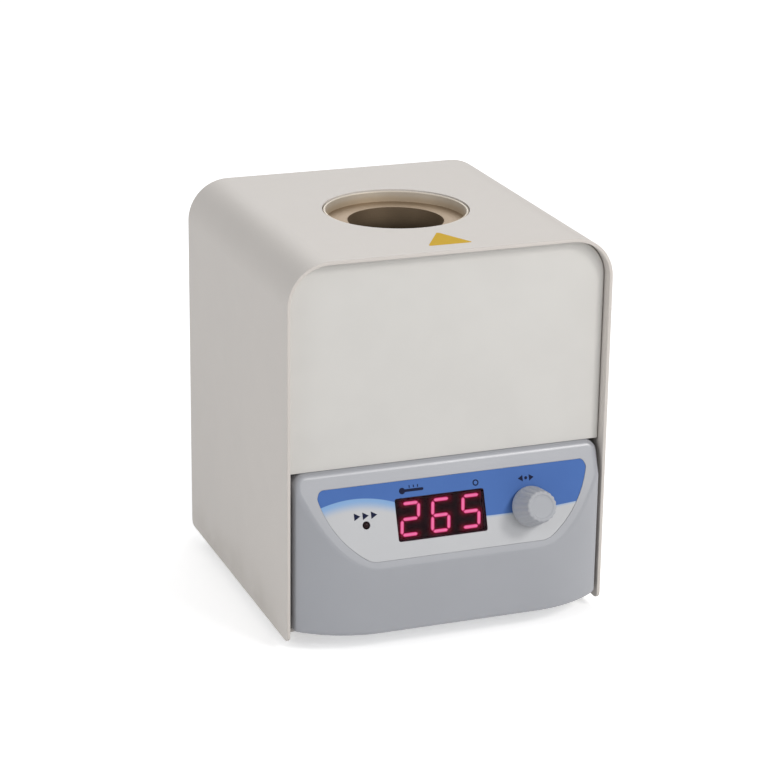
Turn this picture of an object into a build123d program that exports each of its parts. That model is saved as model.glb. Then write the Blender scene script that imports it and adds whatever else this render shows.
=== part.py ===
from build123d import *
from math import asin, atan2, cos, degrees, radians, sin, tan
import os

os.makedirs("parts", exist_ok=True)

# Outer cover: one sheet folded into an inverted U, standing on rubber feet
cover_width = 138.0
cover_depth = 134.0
cover_height = 158.0
cover_sheet = 1.5
cover_corner_radius = 17.5
cover_foot_corner = 3.0
cover_edge_round = 0.4
lip_width = 20.0
lip_setback = 10.0
foot_height = 4.0
foot_radius = 7.0
foot_inset_side = 13.0
foot_inset_front = 24.0
foot_inset_rear = 20.0
foot_edge_round = 0.8
well_mouth_radius = 30.6
well_forward = 2.0

# Control fascia: a bowed moulding cut by an inclined face
fascia_gap = 1.6
fascia_lift = 3.5
fascia_height = 67.0
fascia_bulge = 11.6
fascia_bow_span = 35.2
fascia_bow_radius = 50.0
fascia_offset = 1.5
fascia_wall = 2.5
fascia_top_corner = 5.0
fascia_side_corner = 3.0
fascia_foot_round = 2.0
face_round = 3.0
face_tilt = 20.0
face_top_lift = 64.0
face_top_inset = 0.1
moulding_depth = 14.0

# Control knob on the inclined face, measured along the face (u, v) and out of it
knob_u = cover_width / 2 - 35.8
knob_v = -16.7
knob_rise = 0.9
knob_length = 12.1
knob_base_radius = 8.3
knob_face_radius = 6.4
knob_face_round = 0.8
knob_dish_radius = 5.0
knob_dish_depth = 0.4
knob_flute_count = 18
knob_flute_radius = 0.9
knob_flute_depth = 0.35

# The origin is the middle of the footprint, so the reach of the knob sets the front edge
tilt = radians(face_tilt)
knob_tip = knob_rise + knob_length
knob_reach = (
    (knob_tip - knob_face_round) * cos(tilt)
    + (knob_face_radius - knob_face_round) * sin(tilt)
    + knob_face_round
)
front_reach = knob_reach - face_top_inset - knob_v * sin(tilt)
front_y = (front_reach - cover_depth) / 2
rear_y = front_y + cover_depth
cover_bottom = foot_height
cover_top = cover_bottom + cover_height
inner_top = cover_top - cover_sheet
inner_half = cover_width / 2 - cover_sheet
well_y = (front_y + rear_y) / 2 - well_forward
face_plane = Plane(
    origin=(0, front_y + face_top_inset, cover_bottom + face_top_lift),
    x_dir=(1, 0, 0),
    z_dir=(0, -cos(tilt), sin(tilt)),
)


def save(builder, name):
    """Label a finished piece and write it to its own file."""
    builder.part.label = name
    export_step(builder.part, f"parts/{name}.step")


def on_plane(plane, tolerance=0.02):
    """Selector: edges whose ends and middle lie in the plane."""
    return lambda edge: all(
        abs(plane.to_local_coords(edge @ t).Z) < tolerance for t in (0, 0.5, 1)
    )


# Outer cover
cover_middle_y = (front_y + rear_y) / 2
lip_length = cover_depth - 2 * lip_setback
foot_x = cover_width / 2 - foot_inset_side
foot_places = [
    (side * foot_x, y)
    for y in (front_y + foot_inset_front, rear_y - foot_inset_rear)
    for side in (-1, 1)
]
foot_names = ["foot_front_left", "foot_front_right", "foot_rear_left", "foot_rear_right"]
screw_m4 = 2.0
screw_m3 = 1.5
screw_clearance = 0.2
stud_circle = 34.6
stud_length = 5.0

with BuildPart() as outer_cover:
    with BuildSketch(Plane.XZ.offset(-rear_y)):
        with Locations((0, cover_bottom)):
            Rectangle(cover_width, cover_height, align=(Align.CENTER, Align.MIN))
        fillet(vertices().group_by(Axis.Y)[-1], cover_corner_radius)
        with BuildSketch(mode=Mode.PRIVATE) as hollow:
            with Locations((0, cover_bottom)):
                Rectangle(2 * inner_half, cover_height - cover_sheet, align=(Align.CENTER, Align.MIN))
            fillet(hollow.vertices().group_by(Axis.Y)[-1], cover_corner_radius - cover_sheet)
        add(hollow.sketch, mode=Mode.SUBTRACT)
    extrude(amount=cover_depth)
    feet_of_sides = edges().filter_by(Axis.X).group_by(Axis.Z)[0]
    fillet(feet_of_sides, cover_foot_corner)
    front_rim = faces().filter_by(Axis.Y).sort_by(Axis.Y)[0].edges()
    rear_rim = faces().filter_by(Axis.Y).sort_by(Axis.Y)[-1].edges()
    fillet(front_rim + rear_rim, cover_edge_round)
    with BuildSketch(Plane.XY.offset(cover_bottom)):
        with Locations(*[(side * (inner_half + cover_sheet / 2 - lip_width / 2), cover_middle_y) for side in (-1, 1)]):
            Rectangle(lip_width, lip_length)
    extrude(amount=cover_sheet)
    with Locations(*[Location((x, y, cover_bottom)) for x, y in foot_places]):
        Hole(screw_m4 + screw_clearance, depth=2 * cover_sheet)
    with BuildSketch(Plane.XY.offset(cover_top)):
        with Locations((0, well_y)):
            Circle(well_mouth_radius)
    extrude(amount=-2 * cover_sheet, mode=Mode.SUBTRACT)
    with BuildSketch(Plane.XY.offset(inner_top)):
        with Locations((0, well_y)):
            with PolarLocations(stud_circle, 4, start_angle=45):
                Circle(screw_m3)
    extrude(amount=-stud_length)
save(outer_cover, "outer_cover")

# Front mouldings: both are open boxes whose back rims rest on the bulkhead
fascia_bottom = cover_bottom + fascia_lift
fascia_top = fascia_bottom + fascia_height
fascia_half = inner_half - fascia_gap
fascia_flat_half = cover_width / 2 - fascia_bow_span
moulding_back = front_y + moulding_depth
panel_setback = 4.5
panel_gap = 0.3
panel_wall = 2.4
panel_edge_round = 0.8
panel_joint = 0.15
boss_radius = 3.6
pilot_radius = 1.2
pilot_depth = 9.0
pilot_clearance = 0.05
panel_boss_low_x = cover_width / 2 - 19.0
panel_boss_high_x = cover_width / 2 - 23.0
fascia_boss_x = cover_width / 2 - 13.0
panel_boss_places = [
    (side * x, z) for x, z in ((panel_boss_low_x, 90.0), (panel_boss_high_x, cover_top - 22.0)) for side in (-1, 1)
]
fascia_boss_places = [(side * fascia_boss_x, z) for z in (17.0, 60.0) for side in (-1, 1)]

panel_bottom = fascia_top + panel_joint
panel_top = inner_top - panel_gap
panel_half = inner_half - panel_gap
panel_corner = cover_corner_radius - cover_sheet - panel_gap

with BuildPart() as front_panel:
    with BuildSketch(Plane.XZ.offset(-moulding_back)):
        with Locations((0, panel_bottom)):
            Rectangle(2 * panel_half, panel_top - panel_bottom, align=(Align.CENTER, Align.MIN))
        fillet(vertices().group_by(Axis.Y)[-1], panel_corner)
    extrude(amount=moulding_depth - panel_setback)
    face_rim = faces().sort_by(Axis.Y)[0].edges()
    fillet(face_rim - face_rim.group_by(Axis.Z)[0], panel_edge_round)
    panel_back = faces().sort_by(Axis.Y)[-1]
    offset(amount=-panel_wall, openings=panel_back)
    with BuildSketch(Plane.XZ.offset(-moulding_back)):
        with Locations(*panel_boss_places):
            Circle(boss_radius)
    extrude(until=Until.NEXT)
    with BuildSketch(Plane.XZ.offset(-moulding_back)):
        with Locations(*panel_boss_places):
            Circle(pilot_radius + pilot_clearance)
    extrude(amount=pilot_depth, mode=Mode.SUBTRACT)
save(front_panel, "front_panel")


def fascia_form(inset, back_y):
    """The bowed moulding cut by the inclined face, drawn smaller on every side by the inset."""
    side = fascia_half - inset
    front = front_y - fascia_bulge + inset
    radius = fascia_bow_radius - inset
    centre_y = front + radius
    left_x = fascia_offset - fascia_flat_half
    right_x = fascia_offset + fascia_flat_half
    left_sweep = degrees(asin((left_x + side) / radius))
    right_sweep = degrees(asin((side - right_x) / radius))
    with BuildPart() as form:
        with BuildSketch(Plane.XY.offset(fascia_bottom + inset)) as plan:
            with BuildLine():
                left = CenterArc((left_x, centre_y), radius, -90 - left_sweep, left_sweep)
                Line(left @ 1, (right_x, front))
                right = CenterArc((right_x, centre_y), radius, -90, right_sweep)
                Polyline(right @ 1, (side, back_y), (-side, back_y), left @ 0)
            make_face()
            fillet(plan.vertices().filter_by(lambda v: abs(v.X) > side - 1 and v.Y < back_y - 1),
                   fascia_side_corner)
        extrude(amount=fascia_height - 2 * inset)
        fillet(form.edges().filter_by(Axis.Y).group_by(Axis.Z)[-1], fascia_top_corner)
        with BuildSketch(face_plane.offset(-inset)):
            Rectangle(2 * cover_width, 2 * cover_height)
        extrude(amount=cover_depth, mode=Mode.SUBTRACT)
    return form


# Overlay outline on the inclined face, and what shows through it
overlay_half_top = cover_width / 2 - 12.0
overlay_half_shoulder = cover_width / 2 - 10.8
overlay_half_middle = cover_width / 2 - 16.6
overlay_half_foot = cover_width / 2 - 31.0
overlay_shoulder_v = -3.2
overlay_middle_v = -17.0
overlay_foot_v = -31.0
overlay_corner_round = 2.5
overlay_foot_round = 9.0
overlay_recess = 0.4
overlay_thickness = 0.3
overlay_clearance = 0.15
window_u = -5.35
window_v = -15.6
window_width = 38.3
window_height = 17.2
window_corner = 1.0
window_clearance = 0.1
window_thickness = 1.6
lamp_u = 31.5 - cover_width / 2
lamp_v = -15.9
lamp_radius = 1.5
lamp_hole_radius = 1.65
bushing_radius = 3.5
bushing_clearance = 0.2


def overlay_outline(margin):
    """Boat-shaped outline of the printed film, centred on the bulge of the moulding."""
    with BuildSketch() as outline:
        with BuildLine():
            right = ThreePointArc(
                (fascia_offset + overlay_half_shoulder + margin, overlay_shoulder_v),
                (fascia_offset + overlay_half_middle + margin, overlay_middle_v),
                (fascia_offset + overlay_half_foot + margin, overlay_foot_v - margin),
            )
            left = ThreePointArc(
                (fascia_offset - overlay_half_foot - margin, overlay_foot_v - margin),
                (fascia_offset - overlay_half_middle - margin, overlay_middle_v),
                (fascia_offset - overlay_half_shoulder - margin, overlay_shoulder_v),
            )
            Line(right @ 1, left @ 0)
            Polyline(
                left @ 1,
                (fascia_offset - overlay_half_top, margin),
                (fascia_offset + overlay_half_top, margin),
                right @ 0,
            )
        make_face()
        fillet(outline.vertices().group_by(Axis.Y)[0], overlay_foot_round)
        fillet(outline.vertices().filter_by(lambda corner: corner.Y > overlay_middle_v), overlay_corner_round)
    return outline.sketch


# Display board behind the inclined face: depths are measured into the moulding from its face
display_case_width = 37.6
display_case_height = 17.0
display_case_depth = 8.0
display_case_setback = 0.1
board_width = 96.0
board_height = 29.0
board_u = -1.0
board_v = -16.0
board_thickness = 1.6
board_corner = 1.5
board_post_radius = 3.2
board_post_u = 44.5
board_post_v = 11.0
window_seat_depth = window_thickness + overlay_recess
board_depth = window_seat_depth + display_case_setback + display_case_depth
board_post_places = [
    (board_u + su * board_post_u, board_v + sv * board_post_v) for su in (-1, 1) for sv in (-1, 1)
]

with BuildPart() as control_fascia:
    add(fascia_form(0, moulding_back).part)
    fillet(edges().filter_by(on_plane(face_plane)), face_round)
    foot_edges = faces().sort_by(Axis.Z)[0].edges().sort_by(Axis.Y)[:-1]
    fillet(foot_edges, fascia_foot_round)
    add(fascia_form(fascia_wall, moulding_back + fascia_wall).part, mode=Mode.SUBTRACT)
    with BuildSketch(Plane.XZ.offset(-moulding_back)):
        with Locations(*fascia_boss_places):
            Circle(boss_radius)
    extrude(until=Until.NEXT)
    with BuildSketch(Plane.XZ.offset(-moulding_back)):
        with Locations(*fascia_boss_places):
            Circle(pilot_radius + pilot_clearance)
    extrude(amount=pilot_depth, mode=Mode.SUBTRACT)
    with BuildSketch(face_plane.offset(-board_depth)):
        with Locations(*board_post_places):
            Circle(board_post_radius)
    extrude(until=Until.NEXT)
    with BuildSketch(face_plane.offset(-board_depth)):
        with Locations(*board_post_places):
            Circle(pilot_radius + pilot_clearance)
    extrude(amount=board_depth - fascia_wall, mode=Mode.SUBTRACT)
    with BuildSketch(face_plane):
        add(overlay_outline(overlay_clearance))
    extrude(amount=-overlay_recess, mode=Mode.SUBTRACT)
    with BuildSketch(face_plane):
        with Locations((window_u, window_v)):
            RectangleRounded(window_width + 2 * window_clearance, window_height + 2 * window_clearance,
                             window_corner)
        with Locations((lamp_u, lamp_v)):
            Circle(lamp_hole_radius)
        with Locations((knob_u, knob_v)):
            Circle(bushing_radius + bushing_clearance)
    extrude(amount=-2 * fascia_wall, mode=Mode.SUBTRACT)
save(control_fascia, "control_fascia")

# Printed film, red filter and three-digit display
film_face = overlay_thickness - overlay_recess
nut_flat_width = 10.0
nut_thickness = 2.0
nut_clearance = 0.5
digit_pitch = 12.9
digit_height = 12.4
digit_width = 6.4
digit_lean = 7.0
segment_width = 1.5
segment_gap = 0.25
segment_clearance = 0.05
case_wall = 1.2
potting_depth = 5.0
case_front = window_seat_depth + display_case_setback


def digit_bars(growth):
    """Seven pointed bars of one leaning numeral, as a flat sketch about its middle."""
    half_w = digit_width / 2
    half_h = digit_height / 2
    lean = tan(radians(digit_lean))
    reach_h = digit_width / 2 - segment_gap
    reach_v = digit_height / 4 - segment_gap
    bars = [(0, y, reach_h, 0) for y in (-half_h, 0, half_h)]
    bars += [(x, y, reach_v, 90) for x in (-half_w, half_w) for y in (-half_h / 2, half_h / 2)]
    with BuildSketch() as numeral:
        for x, y, reach, turn in bars:
            w = segment_width / 2 + growth
            e = reach + growth
            points = [(-e, 0), (-e + w, w), (e - w, w), (e, 0), (e - w, -w), (-e + w, -w)]
            if turn:
                points = [(-q, p) for p, q in points]
            with BuildLine():
                Polyline(*[(x + p + lean * (y + q), y + q) for p, q in points], close=True)
            make_face()
    return numeral.sketch


digit_places = [(window_u + step * digit_pitch, window_v) for step in (-1, 0, 1)]

with BuildPart() as front_overlay:
    with BuildSketch(face_plane.offset(-overlay_recess)):
        add(overlay_outline(0))
        with Locations((window_u, window_v)):
            RectangleRounded(window_width + 2 * window_clearance, window_height + 2 * window_clearance,
                             window_corner, mode=Mode.SUBTRACT)
        with Locations((lamp_u, lamp_v)):
            Circle(lamp_hole_radius, mode=Mode.SUBTRACT)
        with Locations((knob_u, knob_v)):
            RegularPolygon(nut_flat_width / 2 + nut_clearance, 6, major_radius=False, mode=Mode.SUBTRACT)
    extrude(amount=overlay_thickness)
save(front_overlay, "front_overlay")

with BuildPart() as display_window:
    with BuildSketch(face_plane.offset(-window_seat_depth)):
        with Locations((window_u, window_v)):
            RectangleRounded(window_width, window_height, window_corner)
    extrude(amount=window_seat_depth + film_face)
save(display_window, "display_window")

with BuildPart() as display_case:
    with BuildSketch(face_plane.offset(-board_depth)):
        with Locations((window_u, window_v)):
            Rectangle(display_case_width, display_case_height)
    extrude(amount=display_case_depth)
    with BuildSketch(face_plane.offset(-board_depth)):
        with Locations((window_u, window_v)):
            Rectangle(display_case_width - 2 * case_wall, display_case_height - 2 * case_wall)
    extrude(amount=display_case_depth - case_wall, mode=Mode.SUBTRACT)
    with BuildSketch(face_plane.offset(-case_front)):
        with Locations(*digit_places):
            add(digit_bars(segment_clearance))
    extrude(amount=-2 * case_wall, mode=Mode.SUBTRACT)
save(display_case, "display_case")

with BuildPart() as display_segments:
    with BuildSketch(face_plane.offset(-case_front - case_wall)):
        with Locations((window_u, window_v)):
            Rectangle(display_case_width - 2 * case_wall, display_case_height - 2 * case_wall)
    extrude(amount=-potting_depth)
    with BuildSketch(face_plane.offset(-case_front - case_wall)):
        with Locations(*digit_places):
            add(digit_bars(0))
    extrude(amount=case_wall)
save(display_segments, "display_segments")

# Display board, its lamp and the push-and-turn encoder
leg_size = 0.5
leg_pitch = 2.54
lamp_tip = 0.2
lamp_body_depth = 4.8
lamp_flange_radius = 1.9
lamp_flange = 1.0
encoder_size = 12.4
encoder_height = 6.0
bushing_tip = 1.9
shoulder_radius = 4.6
shaft_radius = 3.0
shaft_clearance = 0.06
shaft_tip = 10.8
shaft_flat = 1.5
shaft_flat_start = 2.8
shaft_foot = 7.0
plunger_radius = 2.8
plunger_plate = 0.8
plunger_stem_radius = 1.5
plunger_stem_foot = 9.5
encoder_floor = 1.1
cavity_clearance = 0.3

knob_plane = Plane(face_plane.from_local_coords((knob_u, knob_v, 0)), x_dir=(1, 0, 0), z_dir=face_plane.z_dir)
lamp_plane = Plane(face_plane.from_local_coords((lamp_u, lamp_v, 0)), x_dir=(1, 0, 0), z_dir=face_plane.z_dir)
bushing_bore = shaft_radius + shaft_clearance
encoder_top = board_depth - encoder_height

with BuildPart() as display_board:
    with BuildSketch(face_plane.offset(-board_depth)):
        with Locations((board_u, board_v)):
            RectangleRounded(board_width, board_height, board_corner)
        with Locations(*board_post_places):
            Circle(screw_m3 + screw_clearance, mode=Mode.SUBTRACT)
        with Locations((lamp_u - leg_pitch / 2, lamp_v), (lamp_u + leg_pitch / 2, lamp_v)):
            Circle(leg_size, mode=Mode.SUBTRACT)
    extrude(amount=-board_thickness)
save(display_board, "display_board")

with BuildPart() as run_lamp:
    with BuildSketch(lamp_plane.offset(-lamp_body_depth)):
        Circle(lamp_radius)
    extrude(amount=lamp_body_depth + lamp_tip)
    fillet(faces().sort_by(Axis(lamp_plane.origin, lamp_plane.z_dir))[-1].edges(), 0.9 * lamp_radius)
    with BuildSketch(lamp_plane.offset(-lamp_body_depth)):
        Circle(lamp_flange_radius)
    extrude(amount=-lamp_flange)
    with BuildSketch(lamp_plane.offset(-lamp_body_depth - lamp_flange)):
        with Locations((-leg_pitch / 2, 0), (leg_pitch / 2, 0)):
            Rectangle(leg_size, leg_size)
    extrude(amount=-(board_depth + board_thickness - lamp_body_depth - lamp_flange))
save(run_lamp, "run_lamp")

with BuildPart() as encoder_body:
    with BuildSketch(knob_plane.offset(-board_depth)):
        Rectangle(encoder_size, encoder_size)
    extrude(amount=encoder_height)
    with BuildSketch(knob_plane.offset(-encoder_top)):
        Circle(shoulder_radius)
    extrude(amount=encoder_top - fascia_wall)
    with BuildSketch(knob_plane.offset(-fascia_wall)):
        Circle(bushing_radius)
    extrude(amount=fascia_wall + bushing_tip)
    with BuildSketch(knob_plane.offset(bushing_tip)):
        Circle(bushing_bore)
    extrude(amount=-(bushing_tip + encoder_top), mode=Mode.SUBTRACT)
    with BuildSketch(knob_plane.offset(-encoder_top)):
        Circle(shaft_radius + cavity_clearance)
    extrude(amount=-(encoder_height - encoder_floor), mode=Mode.SUBTRACT)
    with BuildSketch(knob_plane.offset(-board_depth)):
        Circle(plunger_stem_radius + shaft_clearance)
    extrude(amount=encoder_floor, mode=Mode.SUBTRACT)
save(encoder_body, "encoder_body")

with BuildPart() as encoder_nut:
    with BuildSketch(knob_plane.offset(-overlay_recess)):
        RegularPolygon(nut_flat_width / 2, 6, major_radius=False)
        Circle(bushing_radius, mode=Mode.SUBTRACT)
    extrude(amount=nut_thickness)
save(encoder_nut, "encoder_nut")

with BuildPart() as encoder_plunger:
    with BuildSketch(knob_plane.offset(-shaft_foot)):
        Circle(plunger_radius)
    extrude(amount=-plunger_plate)
    with BuildSketch(knob_plane.offset(-shaft_foot - plunger_plate)):
        Circle(plunger_stem_radius)
    extrude(amount=-(plunger_stem_foot - shaft_foot - plunger_plate))
save(encoder_plunger, "encoder_plunger")

with BuildPart() as encoder_shaft:
    with BuildSketch(knob_plane.offset(-shaft_foot)):
        Circle(shaft_radius)
    extrude(amount=shaft_foot + shaft_tip)
    with BuildSketch(knob_plane.offset(shaft_flat_start)):
        with Locations((0, shaft_radius)):
            Rectangle(2 * shaft_radius, 2 * shaft_flat)
    extrude(amount=shaft_tip, mode=Mode.SUBTRACT)
save(encoder_shaft, "encoder_shaft")

# Control knob: a tapered fluted grip, hollow underneath to clear the nut
knob_hollow_radius = 6.6
knob_hollow_top = 3.2
knob_skirt = 2.2
knob_skirt_draft = 0.15
knob_bore_clearance = 0.05
knob_bore_top = 11.1
knob_section = Plane(knob_plane.origin, x_dir=(1, 0, 0), z_dir=-face_plane.y_dir)
knob_axis = Axis(knob_plane.origin, knob_plane.z_dir)
grip_height = knob_tip - knob_rise - knob_skirt
grip_slope = atan2(knob_base_radius - knob_skirt_draft - knob_face_radius, grip_height)

with BuildPart() as flute_cutter:
    flute_start = Plane(
        (knob_base_radius - knob_skirt_draft + knob_flute_radius - knob_flute_depth, 0, knob_rise + knob_skirt),
        z_dir=(-sin(grip_slope), 0, cos(grip_slope)),
    )
    with BuildSketch(flute_start):
        Circle(knob_flute_radius)
    extrude(amount=grip_height * 2)

with BuildPart() as control_knob:
    with BuildSketch(knob_section):
        with BuildLine():
            Polyline(
                (0, knob_rise),
                (knob_base_radius, knob_rise),
                (knob_base_radius - knob_skirt_draft, knob_rise + knob_skirt),
                (knob_face_radius, knob_tip),
                (0, knob_tip),
                close=True,
            )
        make_face()
    revolve(axis=knob_axis)
    knob_rim = edges().filter_by(on_plane(knob_plane.offset(knob_tip)))
    fillet(knob_rim, knob_face_round)
    with Locations(knob_plane.location):
        with PolarLocations(0, knob_flute_count):
            add(flute_cutter.part, mode=Mode.SUBTRACT)
    with BuildSketch(knob_plane.offset(knob_tip)):
        Circle(knob_dish_radius)
    extrude(amount=-knob_dish_depth, taper=30, mode=Mode.SUBTRACT)
    with BuildSketch(knob_plane.offset(knob_rise)):
        Circle(knob_hollow_radius)
    extrude(amount=knob_hollow_top - knob_rise, mode=Mode.SUBTRACT)
    with BuildSketch(knob_plane.offset(knob_rise)):
        Circle(shaft_radius + knob_bore_clearance)
        with Locations((0, shaft_radius + knob_bore_clearance)):
            Rectangle(3 * shaft_radius, 2 * shaft_flat, mode=Mode.SUBTRACT)
    extrude(amount=knob_bore_top - knob_rise, mode=Mode.SUBTRACT)
save(control_knob, "control_knob")

# Fasteners
head_ratio = 1.9
head_height_ratio = 1.1
slot_ratio = 0.35
nut_ratio = 1.75
nut_height_ratio = 0.8


def pan_screw(radius, length):
    """Screw with its head standing on the plane z = 0 and its shank hanging below."""
    with BuildPart() as screw:
        with BuildSketch():
            Circle(head_ratio * radius)
        extrude(amount=head_height_ratio * radius)
        chamfer(edges().group_by(Axis.Z)[-1], slot_ratio * radius)
        with BuildSketch(Plane.XY.offset(head_height_ratio * radius)):
            Rectangle(2 * radius, slot_ratio * radius)
            Rectangle(slot_ratio * radius, 2 * radius)
        extrude(amount=-slot_ratio * 2 * radius, mode=Mode.SUBTRACT)
        with BuildSketch():
            Circle(radius)
        extrude(amount=-length)
    return screw.part


def hex_nut(radius):
    """Nut standing on the plane z = 0."""
    with BuildPart() as nut:
        with BuildSketch():
            RegularPolygon(nut_ratio * radius, 6, major_radius=False)
            Circle(radius + pilot_clearance, mode=Mode.SUBTRACT)
        extrude(amount=2 * nut_height_ratio * radius)
    return nut.part


def placed(piece, locations):
    """The same fastener at several places, as one group of separate solids."""
    with BuildPart() as group:
        with Locations(*locations):
            add(piece)
    return group


# Feet and base tray
tray_clearance = 0.6
tray_sheet = 1.5
tray_side_height = 14.0
tray_rear_setback = 8.0
rear_setback = 6.0
pan_flange = 10.0
pan_notch_clearance = 1.0
bulkhead_sheet = 1.2
bulkhead_flange = 12.0
chassis_screw_x = 30.0
chassis_screw_length = 5.0
tray_slot_width = 3.0
tray_slot_length = 26.0
tray_slot_count = 6
tray_slot_pitch = 8.0
foot_recess_radius = 4.6
foot_recess_depth = 2.9
foot_screw_length = 9.0

tray_bottom = cover_bottom + cover_sheet
tray_top = tray_bottom + tray_sheet
tray_half = inner_half - tray_clearance
tray_front = moulding_back
tray_rear = rear_y - tray_rear_setback
pan_face_y = rear_y - rear_setback
pan_front_y = pan_face_y - pan_flange
flange_hole_y = moulding_back + bulkhead_sheet + bulkhead_flange / 2
chassis_screw_places = [
    (side * chassis_screw_x, y)
    for side in (-1, 1)
    for y in (flange_hole_y, pan_front_y + pan_flange / 2)
]

for name, (x, y) in zip(foot_names, foot_places):
    with BuildPart() as rubber_foot:
        with BuildSketch():
            with Locations((x, y)):
                Circle(foot_radius)
        extrude(amount=foot_height)
        fillet(edges().group_by(Axis.Z)[0], foot_edge_round)
        with Locations((x, y, 0)):
            CounterBoreHole(screw_m4 + screw_clearance, foot_recess_radius, foot_recess_depth, foot_height)
    save(rubber_foot, name)

foot_screws = placed(
    pan_screw(screw_m4, foot_screw_length),
    [Location((x, y, foot_recess_depth), (180, 0, 0)) for x, y in foot_places],
)
save(foot_screws, "foot_screws")
foot_nuts = placed(hex_nut(screw_m4), [Location((x, y, tray_top)) for x, y in foot_places])
save(foot_nuts, "foot_nuts")

# Well and what carries it
well_radius = 20.0
well_wall = 1.5
well_depth = 82.0
well_floor = 2.0
well_flange_radius = 31.5
well_flange_thickness = 3.0
well_floor_round = 3.0
flange_drop = 4.9
collar_gap = 0.5
collar_wall = 1.0
collar_drop = 0.4
collar_flange_radius = 38.5
bead_fill = 54.0
bead_clearance = 0.1
plate_sheet = 1.5
plate_half_y = cover_depth / 2 - 17.0
plate_corner = 6.0
plate_clearance = 1.0
flange_screw_circle = 27.0
flange_screw_length = 3.8
pillar_lip_gap = 3.5
plate_overhang = 7.0
pillar_y = cover_depth / 2 - 25.0
pillar_flat_width = 8.0
pillar_screw_length = 8.0

flange_top = cover_top - flange_drop
flange_bottom = flange_top - well_flange_thickness
plate_bottom = flange_bottom - plate_sheet
well_floor_z = flange_top - well_depth
well_bottom = well_floor_z - well_floor
collar_radius = well_mouth_radius - collar_gap
pillar_x = inner_half - lip_width - pillar_lip_gap
plate_half_x = pillar_x + plate_overhang
pillar_places = [(sx * pillar_x, well_y + sy * pillar_y) for sx in (-1, 1) for sy in (-1, 1)]
flange_screw_places = [
    (flange_screw_circle * cos(radians(a)), well_y + flange_screw_circle * sin(radians(a)))
    for a in (0, 90, 180, 270)
]
stud_places = [
    (stud_circle * cos(radians(a)), well_y + stud_circle * sin(radians(a))) for a in (45, 135, 225, 315)
]


def ring(low, high, outer, inner=0):
    """Upright ring or disc about the axis of the well."""
    with BuildPart() as body:
        with BuildSketch(Plane.XY.offset(low)):
            with Locations((0, well_y)):
                Circle(outer)
                if inner > 0:
                    Circle(inner, mode=Mode.SUBTRACT)
        extrude(amount=high - low)
    return body.part


with BuildPart() as base_tray:
    with BuildSketch(Plane.XZ.offset(-tray_rear)):
        with BuildLine():
            FilletPolyline(
                (-tray_half + tray_sheet / 2, tray_bottom + tray_side_height),
                (-tray_half + tray_sheet / 2, tray_bottom + tray_sheet / 2),
                (tray_half - tray_sheet / 2, tray_bottom + tray_sheet / 2),
                (tray_half - tray_sheet / 2, tray_bottom + tray_side_height),
                radius=1.5 * tray_sheet,
            )
            offset(amount=tray_sheet / 2, side=Side.BOTH, kind=Kind.INTERSECTION)
        make_face()
    extrude(amount=tray_rear - tray_front)
    with BuildSketch(Plane.XY.offset(tray_bottom)):
        with Locations(*foot_places, *pillar_places):
            Circle(screw_m4 + screw_clearance)
        with Locations(*chassis_screw_places):
            Circle(screw_m3 + screw_clearance)
        with Locations((0, well_y)):
            with GridLocations(tray_slot_pitch, 1, tray_slot_count, 1):
                SlotOverall(tray_slot_length, tray_slot_width, rotation=90)
    extrude(amount=tray_sheet, mode=Mode.SUBTRACT)
    with BuildSketch(Plane.XY.offset(tray_top)):
        with Locations((0, rear_y)):
            Rectangle(2 * cover_width, 2 * (rear_y - pan_front_y + pan_notch_clearance))
    extrude(amount=cover_height, mode=Mode.SUBTRACT)
save(base_tray, "base_tray")

with BuildPart() as well_cup:
    add(ring(well_bottom, flange_top, well_radius + well_wall))
    fillet(edges().group_by(Axis.Z)[0], well_floor_round + well_wall)
    add(ring(flange_bottom, flange_top, well_flange_radius))
    with BuildPart(mode=Mode.PRIVATE) as bore:
        add(ring(well_floor_z, flange_top, well_radius))
        fillet(edges().group_by(Axis.Z)[0], well_floor_round)
    add(bore.part, mode=Mode.SUBTRACT)
    with BuildSketch(Plane.XY.offset(flange_bottom)):
        with Locations(*flange_screw_places):
            Circle(screw_m3 + pilot_clearance)
    extrude(amount=flange_screw_length - plate_sheet, mode=Mode.SUBTRACT)
save(well_cup, "well_cup")

with BuildPart() as glass_beads:
    add(ring(well_floor_z, well_floor_z + bead_fill, well_radius - bead_clearance))
    fillet(edges().group_by(Axis.Z)[0], well_floor_round + bead_clearance)
save(glass_beads, "glass_beads")

with BuildPart() as collar_ring:
    add(ring(flange_top, cover_top - collar_drop, collar_radius, collar_radius - collar_wall))
    add(ring(inner_top - collar_wall, inner_top, collar_flange_radius, collar_radius - collar_wall))
    fillet(edges().filter_by(GeomType.CIRCLE).group_by(Axis.Z)[-1], 0.4 * collar_wall)
    with BuildSketch(Plane.XY.offset(inner_top)):
        with Locations(*stud_places):
            Circle(screw_m3 + screw_clearance)
    extrude(amount=-collar_wall, mode=Mode.SUBTRACT)
save(collar_ring, "collar_ring")
nut_m3_height = 2 * nut_height_ratio * screw_m3
collar_nuts = placed(
    hex_nut(screw_m3), [Location((x, y, inner_top - collar_wall - nut_m3_height)) for x, y in stud_places]
)
save(collar_nuts, "collar_nuts")

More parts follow.
